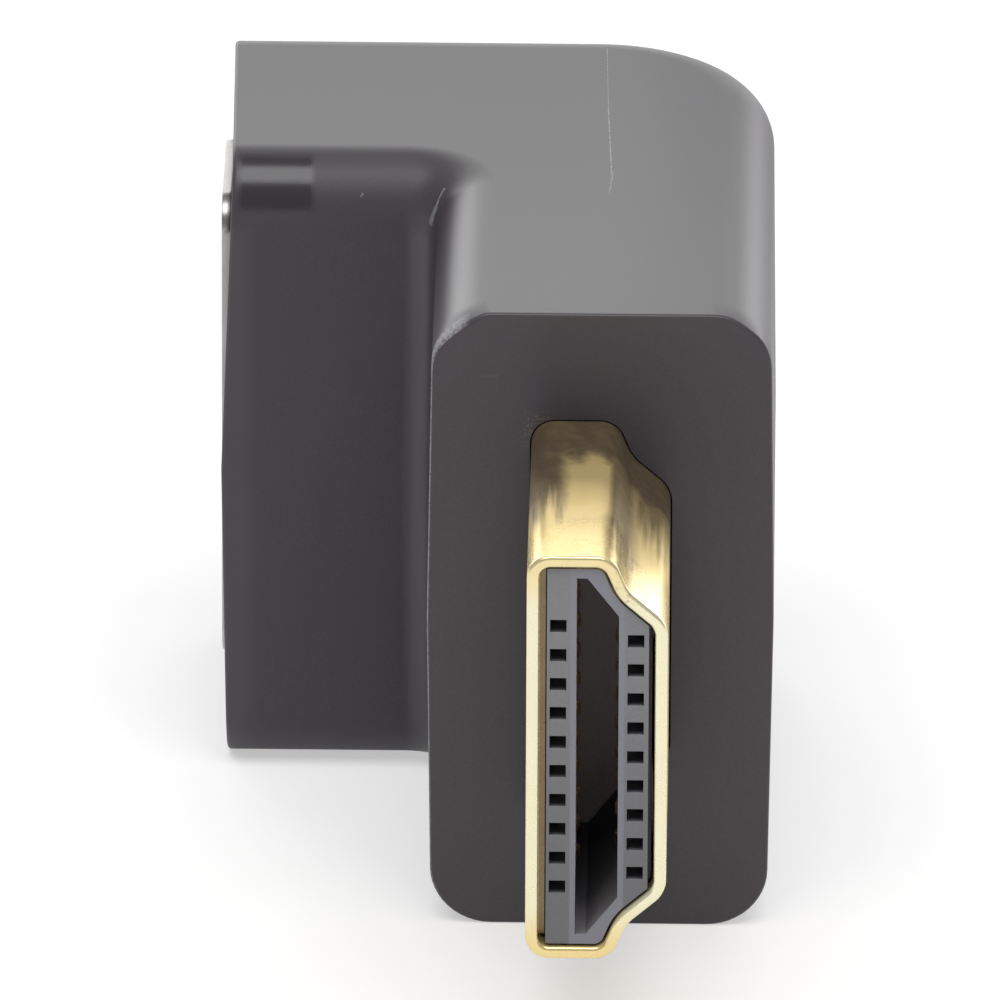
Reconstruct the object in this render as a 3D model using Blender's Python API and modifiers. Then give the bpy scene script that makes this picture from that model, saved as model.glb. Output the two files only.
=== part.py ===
"""Right angle audio and video adapter, in metres, +Z up.

It stands on its flat L-shaped side. The plug points along -Y, and the socket
in the arm's end faces -X. The origin is at the middle of the bottom.
"""

import math

import bmesh
import bpy
from mathutils import Matrix, Vector

# Housing: a block behind the plug and an arm that turns to the socket
BODY_HEIGHT = 0.0213
BLOCK_WIDTH = 0.0111
BLOCK_LENGTH = 0.0119
ARM_THICKNESS = 0.0125
ARM_LENGTH = 0.0069
OUTER_BEND = 0.0057
INNER_BEND = 0.0011
EDGE_RADIUS = 0.0019
RIM_RADIUS = 0.00025
SIDE_DRAFT = math.radians(0.8)
END_DRAFT = math.radians(0.9)
HOUSING_WALL = 0.0016

# Section that the plug and the socket share, seen from the mating end
PLUG_WIDTH = 0.0139
PLUG_THICKNESS = 0.00445
SHOULDER_HEIGHT = 0.0027
WAIST_WIDTH = 0.0115
WAIST_HEIGHT = 0.0032
NARROW_WIDTH = 0.0093
WIDE_CORNER = 0.00075
SHOULDER_CORNER = 0.00075
WAIST_CORNER = 0.0012
NARROW_CORNER = 0.0009

# Plug shell and the block inside it
PLUG_REACH = 0.0108
PLUG_TAIL = 0.0042
PLUG_SHEET = 0.00040
PLUG_RIM_EDGE = 0.00010
PLUG_WINDOW_WIDTH = 0.0019
PLUG_WINDOW_LENGTH = 0.0016
PLUG_WINDOW_SETBACK = 0.0040
PLUG_WINDOW_SPACING = 0.0066
INSULATOR_SETBACK = 0.00015
INSULATOR_WIDE_GAP = 0.00024
INSULATOR_NARROW_GAP = 0.00019
INSULATOR_STEP = 0.0005
FOLD_SHEET = 0.00020
FOLD_MARGIN = 0.0009
INSULATOR_TAIL = 0.0050
TONGUE_SLOT_HEIGHT = 0.00157
TONGUE_SLOT_THICKNESS = 0.00134
TONGUE_SLOT_WIDTH = 0.0123
TONGUE_SLOT_NARROW = 0.0097
TONGUE_SLOT_CHAMFER = 0.00100
TONGUE_SLOT_DEPTH = 0.0088

# Contacts, the same pitch in both connectors
CONTACT_PITCH = 0.0010
WIDE_ROW_COUNT = 10
NARROW_ROW_COUNT = 9
CONTACT_WIDTH = 0.00032
CONTACT_SHEET = 0.00015
CONTACT_SLOT_WIDTH = 0.00044
CONTACT_SLOT_HEIGHT = 0.00052
CONTACT_SLOT_LIP = 0.00040
WIDE_SLOT_EDGE = 0.00010
NARROW_SLOT_EDGE = 0.00015
CONTACT_SETBACK = 0.0009
CONTACT_CREST = 0.0028
CONTACT_PROUD = 0.00012
SOLDER_TAIL = 0.0016
TAIL_JOG = 0.0009

# Socket shell, its flange and the block with the tongue
SOCKET_ENTRY_GAP = 0.00010
SOCKET_SHEET = 0.00030
SOCKET_DEPTH = 0.0102
FLANGE_WIDTH = 0.0162
FLANGE_THICKNESS = 0.0063
FLANGE_CORNER = 0.0011
FLANGE_SHEET = 0.00030
FLANGE_PROUD = 0.00006
FINGER_WIDTH = 0.0020
FINGER_LENGTH = 0.0050
FINGER_SHEET = 0.00020
FINGER_CREST = 0.0035
FINGER_DIP = 0.00045
FINGER_TIP_DIP = 0.00015
FINGER_SPACING = 0.0068
FINGER_SETBACK = 0.0020
FINGER_SLIT = 0.00030
TONGUE_WIDTH = 0.0116
TONGUE_THICKNESS = 0.00100
TONGUE_SETBACK = 0.0018
TONGUE_TIP_CHAMFER = 0.00025
SOCKET_BASE_THICKNESS = 0.0028

# Board and the room around what the housing holds
BOARD_THICKNESS = 0.0010
BOARD_END_GAP = 0.0003
BAY_HALF_WIDTH = 0.0030
BAY_HEIGHT = 0.0160
SOLDER_ROOM = 0.0006
SEAT_GAP = 0.00008
SOLDER_GAP = 0.00004
PASSAGE_GAP = 0.00005
SHELL_GAP = 0.00020

# Facets
ARC_STEPS = 6
BEND_STEPS = 14
EDGE_STEPS = 7
RIM_STEPS = 2
CUT_MARGIN = 0.0010
WELD_DISTANCE = 0.000001
RIM_ANGLE = math.radians(60)
SMOOTH_ANGLE = math.radians(35)

# Colours and finishes: base colour, roughness, metallic
DARK_MOULDING = ((0.085, 0.078, 0.082, 1.0), 0.45, 0.0)
GREY_MOULDING = ((0.17, 0.17, 0.18, 1.0), 0.55, 0.0)
GOLD_PLATE = ((0.95, 0.78, 0.36, 1.0), 0.22, 1.0)
NICKEL_PLATE = ((0.80, 0.76, 0.68, 1.0), 0.28, 1.0)
BOARD_GREEN = ((0.03, 0.16, 0.08, 1.0), 0.5, 0.0)

# Places worked out from the sizes above
SOCKET_FACE_X = -(BLOCK_WIDTH / 2 + ARM_LENGTH + FLANGE_PROUD)
CENTRE_X = (SOCKET_FACE_X + BLOCK_WIDTH / 2) / 2
CENTRE_Y = (BLOCK_LENGTH + ARM_THICKNESS - PLUG_REACH) / 2
MIDDLE = Vector((-CENTRE_X, -CENTRE_Y, BODY_HEIGHT / 2))
SOCKET_Y = BLOCK_LENGTH + ARM_THICKNESS / 2
WIDE_FACE_X = -PLUG_THICKNESS / 2
SLOT_NEAR_X = WIDE_FACE_X + TONGUE_SLOT_HEIGHT
SLOT_FAR_X = SLOT_NEAR_X + TONGUE_SLOT_THICKNESS
BOARD_X = (SLOT_NEAR_X + SLOT_FAR_X) / 2
BOARD_FRONT_Y = INSULATOR_TAIL + BOARD_END_GAP
BAY_END_Y = BLOCK_LENGTH + ARM_THICKNESS - HOUSING_WALL
SOCKET_BASE_REAR_X = BOARD_X - BOARD_THICKNESS / 2 - SOLDER_ROOM
SOCKET_BASE_FRONT_X = SOCKET_BASE_REAR_X - SOCKET_BASE_THICKNESS

# A frame looking at each connector: across, up its thickness, and inwards
PLUG_FRAME = Matrix(((0, 1, 0, WIDE_FACE_X), (0, 0, 1, -PLUG_REACH), (1, 0, 0, 0), (0, 0, 0, 1)))
SOCKET_WIDE_Y = SOCKET_Y - PLUG_THICKNESS / 2
SOCKET_FRAME = Matrix(((0, 0, 1, SOCKET_FACE_X), (0, 1, 0, SOCKET_WIDE_Y), (-1, 0, 0, 0), (0, 0, 0, 1)))


def clear_scene():
    """Remove what the scene holds."""
    for item in list(bpy.data.objects):
        bpy.data.objects.remove(item, do_unlink=True)


def new_collection(name):
    """Add a collection to the scene."""
    collection = bpy.data.collections.new(name)
    bpy.context.scene.collection.children.link(collection)
    return collection


def new_material(name, finish):
    """Make a Principled material from a base colour, roughness and metallic value."""
    colour, roughness, metallic = finish
    material = bpy.data.materials.new(name)
    material.use_nodes = True
    shader = material.node_tree.nodes["Principled BSDF"]
    shader.inputs["Base Color"].default_value = colour
    shader.inputs["Roughness"].default_value = roughness
    shader.inputs["Metallic"].default_value = metallic
    material.diffuse_color = colour
    return material


clear_scene()
PARTS = new_collection("right_angle_adapter")
CUTTERS = new_collection("cutters")


def add_part(name, mesh, finish):
    """Put a finished mesh in the scene as a named sub-part."""
    part = bpy.data.objects.new(name, mesh)
    part.data.materials.clear()
    part.data.materials.append(new_material(name, finish))
    part.location = MIDDLE
    PARTS.objects.link(part)
    return part


def add_cutter(name, mesh):
    """Put a mesh in the scene as a cutter, hidden from renders."""
    cutter = bpy.data.objects.new(name, mesh)
    cutter.location = MIDDLE
    cutter.display_type = "WIRE"
    cutter.hide_render = True
    CUTTERS.objects.link(cutter)
    return cutter


def combine(part, cutter, operation="DIFFERENCE"):
    """Cut a part with a cutter, or join the cutter to it."""
    modifier = part.modifiers.new(cutter.name, "BOOLEAN")
    modifier.operation = operation
    modifier.solver = "EXACT"
    modifier.object = cutter


def round_rims(part, width):
    """Round the edges where a part's ends meet its walls."""
    modifier = part.modifiers.new("rounded_rims", "BEVEL")
    modifier.width = width
    modifier.segments = RIM_STEPS
    modifier.limit_method = "ANGLE"
    modifier.angle_limit = RIM_ANGLE


def smooth(mesh):
    """Shade a mesh smooth, with its sharp edges kept."""
    mesh.shade_smooth()
    mesh.set_sharp_from_angle(angle=SMOOTH_ANGLE)


def finish_mesh(name, bm):
    """Turn a bmesh into a mesh with its faces pointing out."""
    bmesh.ops.recalc_face_normals(bm, faces=bm.faces)
    mesh = bpy.data.meshes.new(name)
    bm.to_mesh(mesh)
    bm.free()
    return mesh


def box_mesh(name, low, high):
    """Make a box from its lowest and highest corners."""
    low = Vector(low)
    high = Vector(high)
    bm = bmesh.new()
    bmesh.ops.create_cube(bm, size=1.0)
    bmesh.ops.scale(bm, verts=bm.verts, vec=high - low)
    bmesh.ops.translate(bm, verts=bm.verts, vec=(low + high) / 2)
    return finish_mesh(name, bm)


def fillet(corners, radii, steps):
    """Round the corners of a closed outline, each with its own radius."""
    points = []
    count = len(corners)
    for index, corner in enumerate(corners):
        before = (corner - corners[index - 1]).normalized()
        after = (corners[(index + 1) % count] - corner).normalized()
        turn = math.atan2(before.cross(after), before.dot(after))
        radius = radii[index]
        if radius <= 0:
            points.append(corner.copy())
            continue
        reach = radius * math.tan(abs(turn) / 2)
        side = math.copysign(1.0, turn)
        start = corner - before * reach
        centre = start + Vector((-before.y, before.x)) * radius * side
        for step in range(steps + 1):
            angle = turn * step / steps
            spoke = start - centre
            points.append(centre + Matrix.Rotation(angle, 2) @ spoke)
    return points


def inset_corners(corners, inset):
    """Move every side of a counter-clockwise outline inwards."""
    moved = []
    count = len(corners)
    for index, corner in enumerate(corners):
        before = (corner - corners[index - 1]).normalized()
        after = (corners[(index + 1) % count] - corner).normalized()
        normal_before = Vector((-before.y, before.x))
        normal_after = Vector((-after.y, after.x))
        share = inset / (1 + normal_before.dot(normal_after))
        moved.append(corner + (normal_before + normal_after) * share)
    return moved


def section(inset):
    """The connector's section, inset from the outside of the plug's shell.

    Across the width is x, and y is the height above the wide face.
    """
    half = [
        (PLUG_WIDTH / 2, 0.0, WIDE_CORNER - inset),
        (PLUG_WIDTH / 2, SHOULDER_HEIGHT, SHOULDER_CORNER - inset),
        (WAIST_WIDTH / 2, WAIST_HEIGHT, WAIST_CORNER + inset),
        (NARROW_WIDTH / 2, PLUG_THICKNESS, NARROW_CORNER - inset),
    ]
    mirrored = [(-x, y, radius) for x, y, radius in reversed(half)]
    outline = half + mirrored
    corners = [Vector((x, y)) for x, y, radius in outline]
    radii = [radius for x, y, radius in outline]
    return fillet(inset_corners(corners, inset), radii, ARC_STEPS)


def rounded_rectangle(width, height, radius, centre_y):
    """A rounded rectangle, centred across its width."""
    corners = [
        Vector((width / 2, centre_y - height / 2)),
        Vector((width / 2, centre_y + height / 2)),
        Vector((-width / 2, centre_y + height / 2)),
        Vector((-width / 2, centre_y - height / 2)),
    ]
    return fillet(corners, [radius] * len(corners), ARC_STEPS)


def extruded(name, outlines, start, end, frame):
    """Extrude flat outlines from one depth to another, in a connector's frame.

    A second outline inside the first leaves a hole.
    """
    curve = bpy.data.curves.new(name, "CURVE")
    curve.dimensions = "2D"
    curve.fill_mode = "BOTH"
    curve.extrude = (end - start) / 2
    for outline in outlines:
        spline = curve.splines.new("POLY")
        spline.points.add(len(outline) - 1)
        for point, place in zip(spline.points, outline):
            point.co = (place.x, place.y, 0.0, 1.0)
        spline.use_cyclic_u = True
    guide = bpy.data.objects.new(name, curve)
    CUTTERS.objects.link(guide)
    guide.matrix_world = frame @ Matrix.Translation((0, 0, (start + end) / 2))
    bpy.context.view_layer.update()
    evaluated = guide.evaluated_get(bpy.context.evaluated_depsgraph_get())
    mesh = bpy.data.meshes.new_from_object(evaluated)
    mesh.transform(guide.matrix_world)
    bpy.data.objects.remove(guide, do_unlink=True)
    bm = bmesh.new()
    bm.from_mesh(mesh)
    bmesh.ops.remove_doubles(bm, verts=bm.verts, dist=WELD_DISTANCE)
    bmesh.ops.recalc_face_normals(bm, faces=bm.faces)
    bm.to_mesh(mesh)
    bm.free()
    return mesh


def row_places(count):
    """Where a row of contacts lies across the connector."""
    return [CONTACT_PITCH * (index - (count - 1) / 2) for index in range(count)]


def rim_steps():
    """The small rounding round each end: how far along, and how far in, from the end face."""
    steps = []
    for step in range(RIM_STEPS + 1):
        angle = math.pi / 2 * step / RIM_STEPS
        steps.append((RIM_RADIUS * (1 - math.cos(angle)), RIM_RADIUS * (1 - math.sin(angle))))
    return steps


def wall_levels(rim_inset):
    """Heights from the bottom to the top of a section, with how far its walls come in at each."""
    straight = BODY_HEIGHT / 2 - EDGE_RADIUS
    radius = EDGE_RADIUS - rim_inset
    upper = [(0.0, rim_inset)]
    for step in range(EDGE_STEPS + 1):
        angle = math.pi / 2 * step / EDGE_STEPS
        height = straight + radius * math.sin(angle)
        upper.append((height, EDGE_RADIUS - radius * math.cos(angle)))
    drafted = [(height, inset + height * math.tan(SIDE_DRAFT)) for height, inset in upper]
    below = [(-height, inset) for height, inset in reversed(drafted[1:])]
    return below + drafted


def housing_stations():
    """Sections from the plug's face round the bend to the socket's face.

    Each is an inset for the rim and a function that gives the outer and the
    inner wall's places for a height and an inset.
    """
    def block(along):
        def walls(height, inset):
            return Vector((BLOCK_WIDTH / 2 - inset, along)), Vector((-BLOCK_WIDTH / 2 + inset, along))
        return walls

    def bend(angle):
        outer_centre = Vector((BLOCK_WIDTH / 2 - OUTER_BEND, BLOCK_LENGTH + ARM_THICKNESS - OUTER_BEND))
        inner_centre = Vector((-BLOCK_WIDTH / 2 - INNER_BEND, BLOCK_LENGTH - INNER_BEND))
        spoke = Vector((math.cos(angle), math.sin(angle)))

        def walls(height, inset):
            return outer_centre + spoke * (OUTER_BEND - inset), inner_centre + spoke * (INNER_BEND + inset)
        return walls

    def arm(along):
        def walls(height, inset):
            x = -BLOCK_WIDTH / 2 - ARM_LENGTH + along + abs(height) * math.tan(END_DRAFT)
            return Vector((x, BLOCK_LENGTH + ARM_THICKNESS - inset)), Vector((x, BLOCK_LENGTH + inset))
        return walls

    stations = [(inset, block(along)) for along, inset in rim_steps()]
    stations += [(0.0, bend(math.pi / 2 * step / BEND_STEPS)) for step in range(BEND_STEPS + 1)]
    stations += [(inset, arm(along)) for along, inset in reversed(rim_steps())]
    return stations


def build_housing():
    """One L-shaped moulding with drafted sides, hollow where it holds the connectors."""
    bm = bmesh.new()
    rings = []
    for rim_inset, walls in housing_stations():
        outer_side = []
        inner_side = []
        for height, inset in wall_levels(rim_inset):
            outer, inner = walls(height, inset)
            outer_side.append(bm.verts.new((outer.x, outer.y, height)))
            inner_side.append(bm.verts.new((inner.x, inner.y, height)))
        rings.append(outer_side + inner_side[::-1])
    count = len(rings[0])
    for first, second in zip(rings, rings[1:]):
        for index in range(count):
            after = (index + 1) % count
            bm.faces.new((first[index], first[after], second[after], second[index]))
    for ring in (rings[0], rings[-1]):
        for index in range(count // 2 - 1):
            across = count - 1 - index
            bm.faces.new((ring[index], ring[index + 1], ring[across - 1], ring[across]))
    mesh = finish_mesh("housing", bm)
    smooth(mesh)
    housing = add_part("housing", mesh, DARK_MOULDING)

    passage = extruded(
        "plug_passage", [section(-PASSAGE_GAP)], PLUG_REACH - CUT_MARGIN, PLUG_REACH + PLUG_TAIL, PLUG_FRAME
    )
    combine(housing, add_cutter("plug_passage", passage))

    bay_low = (-BAY_HALF_WIDTH, PLUG_TAIL - SHELL_GAP, -BAY_HEIGHT / 2)
    bay_high = (BAY_HALF_WIDTH, BAY_END_Y, BAY_HEIGHT / 2)
    combine(housing, add_cutter("board_bay", box_mesh("board_bay", bay_low, bay_high)))

    shell_outset = SOCKET_ENTRY_GAP + SOCKET_SHEET + SHELL_GAP
    socket_low = (SOCKET_FACE_X - CUT_MARGIN, SOCKET_WIDE_Y - shell_outset, -PLUG_WIDTH / 2 - shell_outset)
    socket_high = (
        -BAY_HALF_WIDTH + SHELL_GAP,
        SOCKET_WIDE_Y + PLUG_THICKNESS + shell_outset,
        PLUG_WIDTH / 2 + shell_outset,
    )
    combine(housing, add_cutter("socket_passage", box_mesh("socket_passage", socket_low, socket_high)))

    recess_outline = rounded_rectangle(
        FLANGE_WIDTH + 2 * SHELL_GAP,
        FLANGE_THICKNESS + 2 * SHELL_GAP,
        FLANGE_CORNER + SHELL_GAP,
        PLUG_THICKNESS / 2,
    )
    recess = extruded("flange_recess", [recess_outline], -CUT_MARGIN, FLANGE_SHEET + SEAT_GAP, SOCKET_FRAME)
    combine(housing, add_cutter("flange_recess", recess))


def build_plug_shell():
    """The folded metal shell, open at both ends, with windows for the socket's spring fingers.

    Its wide wall is folded double inside, a little way in from the rim.
    """
    outlines = [section(0.0), section(PLUG_SHEET)]
    mesh = extruded("plug_shell", outlines, 0.0, PLUG_REACH + PLUG_TAIL, PLUG_FRAME)
    smooth(mesh)
    shell = add_part("plug_shell", mesh, GOLD_PLATE)
    round_rims(shell, PLUG_RIM_EDGE)
    inside_x = WIDE_FACE_X + PLUG_SHEET
    half_width = PLUG_WIDTH / 2 - FOLD_MARGIN
    fold_low = (inside_x - PLUG_SHEET / 2, -PLUG_REACH + INSULATOR_SETBACK + INSULATOR_STEP, -half_width)
    fold_high = (inside_x + FOLD_SHEET, PLUG_TAIL - SHELL_GAP, half_width)
    combine(shell, add_cutter("inner_fold", box_mesh("inner_fold", fold_low, fold_high)), "UNION")
    near = -PLUG_REACH + PLUG_WINDOW_SETBACK
    for label, place in (("lower", -PLUG_WINDOW_SPACING / 2), ("upper", PLUG_WINDOW_SPACING / 2)):
        low = (-PLUG_THICKNESS, near, place - PLUG_WINDOW_WIDTH / 2)
        high = (PLUG_THICKNESS, near + PLUG_WINDOW_LENGTH, place + PLUG_WINDOW_WIDTH / 2)
        name = "plug_window_" + label
        combine(shell, add_cutter(name, box_mesh(name, low, high)))


def plug_slot_cutters():
    """Cutters for the contact slots of both rows, which open on the tongue slot behind a front lip."""
    front = -PLUG_REACH + INSULATOR_SETBACK
    lip = front + CONTACT_SLOT_LIP
    slot_end = front + TONGUE_SLOT_DEPTH
    rear = INSULATOR_TAIL + CUT_MARGIN
    rows = (
        ("wide", WIDE_ROW_COUNT, wide_row_x(), SLOT_NEAR_X, 1),
        ("narrow", NARROW_ROW_COUNT, narrow_row_x(), SLOT_FAR_X, -1),
    )
    cutters = []
    for label, count, row_x, slot_x, inwards in rows:
        outer = row_x - inwards * CONTACT_SLOT_HEIGHT / 2
        inner = row_x + inwards * CONTACT_SLOT_HEIGHT / 2
        open_x = slot_x + inwards * CONTACT_SHEET
        side = [
            (outer, front - CUT_MARGIN),
            (outer, rear),
            (inner, rear),
            (inner, slot_end),
            (open_x, slot_end),
            (open_x, lip),
            (inner, lip),
            (inner, front - CUT_MARGIN),
        ]
        bm = bmesh.new()
        for place in row_places(count):
            add_slab(bm, side, place, CONTACT_SLOT_WIDTH)
        name = "contact_slots_" + label
        cutters.append(add_cutter(name, finish_mesh(name, bm)))
    return cutters


def add_slab(bm, side, place, width):
    """Add a slab of the given side view, centred at a place across the connector."""
    verts = [bm.verts.new((x, y, place - width / 2)) for x, y in side]
    face = bm.faces.new(verts)
    grown = bmesh.ops.extrude_face_region(bm, geom=[face])
    moved = [item for item in grown["geom"] if isinstance(item, bmesh.types.BMVert)]
    bmesh.ops.translate(bm, verts=moved, vec=(0, 0, width))


def insulator_sides():
    """Where the block's two long outer sides lie, across the plug's thickness."""
    wide_x = WIDE_FACE_X + PLUG_SHEET + INSULATOR_WIDE_GAP
    narrow_x = WIDE_FACE_X + PLUG_THICKNESS - PLUG_SHEET - INSULATOR_NARROW_GAP
    return wide_x, narrow_x


def wide_row_x():
    """Middle of the wide row's slots, close inside the block's wide side."""
    return insulator_sides()[0] + WIDE_SLOT_EDGE + CONTACT_SLOT_HEIGHT / 2


def narrow_row_x():
    """Middle of the narrow row's slots, close inside the block's narrow side."""
    return insulator_sides()[1] - NARROW_SLOT_EDGE - CONTACT_SLOT_HEIGHT / 2


def build_plug_insulator():
    """The block inside the plug: it fills the shell and takes the socket's tongue."""
    start = INSULATOR_SETBACK
    mesh = extruded(
        "plug_insulator", [section(PLUG_SHEET + SEAT_GAP)], start, PLUG_REACH + INSULATOR_TAIL, PLUG_FRAME
    )
    block = add_part("plug_insulator", mesh, GREY_MOULDING)

    wide_x, narrow_x = insulator_sides()
    front_y = -PLUG_REACH - CUT_MARGIN
    reliefs = (
        ("wide_side_relief", WIDE_FACE_X, wide_x, INSULATOR_TAIL + CUT_MARGIN),
        ("narrow_side_step", narrow_x, -WIDE_FACE_X, -PLUG_REACH + INSULATOR_SETBACK + INSULATOR_STEP),
    )
    for name, near_x, far_x, rear_y in reliefs:
        relief = box_mesh(name, (near_x, front_y, -PLUG_WIDTH), (far_x, rear_y, PLUG_WIDTH))
        combine(block, add_cutter(name, relief))

    near = TONGUE_SLOT_HEIGHT
    far = TONGUE_SLOT_HEIGHT + TONGUE_SLOT_THICKNESS
    slot = [
        Vector((TONGUE_SLOT_WIDTH / 2, near)),
        Vector((TONGUE_SLOT_WIDTH / 2, far - TONGUE_SLOT_CHAMFER)),
        Vector((TONGUE_SLOT_NARROW / 2, far)),
        Vector((-TONGUE_SLOT_NARROW / 2, far)),
        Vector((-TONGUE_SLOT_WIDTH / 2, far - TONGUE_SLOT_CHAMFER)),
        Vector((-TONGUE_SLOT_WIDTH / 2, near)),
    ]
    slot_mesh = extruded("tongue_slot", [slot], start - CUT_MARGIN, start + TONGUE_SLOT_DEPTH, PLUG_FRAME)
    combine(block, add_cutter("tongue_slot", slot_mesh))
    for cutter in plug_slot_cutters():
        combine(block, cutter)


def strip_mesh(name, path, place, width):
    """An open ribbon along a path in plan, standing across the connector."""
    bm = bmesh.new()
    verts = [bm.verts.new((x, y, place - width / 2)) for x, y in path]
    edges = [bm.edges.new(pair) for pair in zip(verts, verts[1:])]
    grown = bmesh.ops.extrude_edge_only(bm, edges=edges)
    moved = [item for item in grown["geom"] if isinstance(item, bmesh.types.BMVert)]
    bmesh.ops.translate(bm, verts=moved, vec=(0, 0, width))
    mesh = bpy.data.meshes.new(name)
    bm.to_mesh(mesh)
    bm.free()
    return mesh


def add_contact(name, path, place):
    """One sprung contact, stamped from thin sheet."""
    part = add_part(name, strip_mesh(name, path, place, CONTACT_WIDTH), GOLD_PLATE)
    sheet = part.modifiers.new("sheet", "SOLIDIFY")
    sheet.thickness = CONTACT_SHEET
    sheet.offset = 0.0
    sheet.use_even_offset = True


def plug_contact_path(row_x, slot_x, inwards):
    """Front tip, crest that presses on the tongue, straight run, and tail on the board's face."""
    front = -PLUG_REACH + INSULATOR_SETBACK
    crest_x = slot_x + inwards * (CONTACT_PROUD - CONTACT_SHEET / 2)
    run_x = row_x
    tail_x = BOARD_X - inwards * (BOARD_THICKNESS / 2 + SOLDER_GAP + CONTACT_SHEET / 2)
    tip = front + CONTACT_SETBACK
    crest = front + CONTACT_CREST
    return [
        (run_x, tip),
        ((run_x + crest_x) / 2, (tip + crest) / 2 - CONTACT_SHEET),
        (crest_x, crest),
        ((run_x + crest_x) / 2, crest + (crest - tip) / 2 + CONTACT_SHEET),
        (run_x, crest + (crest - tip)),
        (run_x, INSULATOR_TAIL + CONTACT_SHEET),
        (tail_x, INSULATOR_TAIL + TAIL_JOG),
        (tail_x, INSULATOR_TAIL + TAIL_JOG + SOLDER_TAIL),
    ]


def build_plug_contacts():
    """Odd contacts on the wide side and even ones on the narrow side, numbered upwards."""
    wide_path = plug_contact_path(wide_row_x(), SLOT_NEAR_X, 1)
    narrow_path = plug_contact_path(narrow_row_x(), SLOT_FAR_X, -1)
    for index, place in enumerate(row_places(WIDE_ROW_COUNT)):
        add_contact("plug_contact_%02d" % (2 * index + 1), wide_path, place)
    for index, place in enumerate(row_places(NARROW_ROW_COUNT)):
        add_contact("plug_contact_%02d" % (2 * index + 2), narrow_path, place)


def build_socket_shell():
    """The socket's folded shell: a flange at the mouth and two spring fingers on each wide wall."""
    flange_outline = rounded_rectangle(FLANGE_WIDTH, FLANGE_THICKNESS, FLANGE_CORNER, PLUG_THICKNESS / 2)
    mesh = extruded("socket_shell", [flange_outline], 0.0, FLANGE_SHEET, SOCKET_FRAME)
    smooth(mesh)
    shell = add_part("socket_shell", mesh, NICKEL_PLATE)

    outset = SOCKET_ENTRY_GAP + SOCKET_SHEET
    sleeve = extruded("socket_sleeve", [section(-outset)], FLANGE_SHEET / 2, SOCKET_DEPTH, SOCKET_FRAME)
    combine(shell, add_cutter("socket_sleeve", sleeve), "UNION")
    mouth = extruded(
        "socket_mouth", [section(-SOCKET_ENTRY_GAP)], -CUT_MARGIN, SOCKET_DEPTH + CUT_MARGIN, SOCKET_FRAME
    )
    combine(shell, add_cutter("socket_mouth", mouth))

    walls = (
        ("near", -SOCKET_ENTRY_GAP - SOCKET_SHEET / 2, 1),
        ("far", PLUG_THICKNESS + SOCKET_ENTRY_GAP + SOCKET_SHEET / 2, -1),
    )
    for wall, wall_height, inwards in walls:
        for label, place in (("lower", -FINGER_SPACING / 2), ("upper", FINGER_SPACING / 2)):
            name = wall + "_" + label
            cut_finger(shell, name, wall_height, inwards, place)


def cut_finger(shell, name, wall_height, inwards, place):
    """Cut a window in the socket's wall and leave a bent spring finger in it."""
    wall_y = SOCKET_WIDE_Y + wall_height
    start_x = SOCKET_FACE_X + FINGER_SETBACK
    window_half = FINGER_WIDTH / 2 + FINGER_SLIT
    low = (start_x, wall_y - SOCKET_SHEET, place - window_half)
    high = (start_x + FINGER_LENGTH + FINGER_SLIT, wall_y + SOCKET_SHEET, place + window_half)
    window = add_cutter("finger_window_" + name, box_mesh("finger_window_" + name, low, high))
    combine(shell, window)

    root_x = start_x - SOCKET_SHEET
    dip_y = wall_y + inwards * FINGER_DIP
    path = [
        (root_x, wall_y),
        (start_x + FINGER_SLIT, wall_y),
        (start_x + FINGER_CREST, dip_y),
        (start_x + FINGER_LENGTH, wall_y + inwards * FINGER_TIP_DIP),
    ]
    finger_name = "spring_finger_" + name
    finger = add_cutter(finger_name, strip_mesh(finger_name, path, place, FINGER_WIDTH))
    sheet = finger.modifiers.new("sheet", "SOLIDIFY")
    sheet.thickness = FINGER_SHEET
    sheet.offset = 0.0
    sheet.use_even_offset = True
    combine(shell, finger, "UNION")


def tongue_row_y(towards):
    """Middle of the contacts that lie in one face of the tongue."""
    return SOCKET_Y + towards * (TONGUE_THICKNESS / 2 - CONTACT_SHEET / 2)


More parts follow.
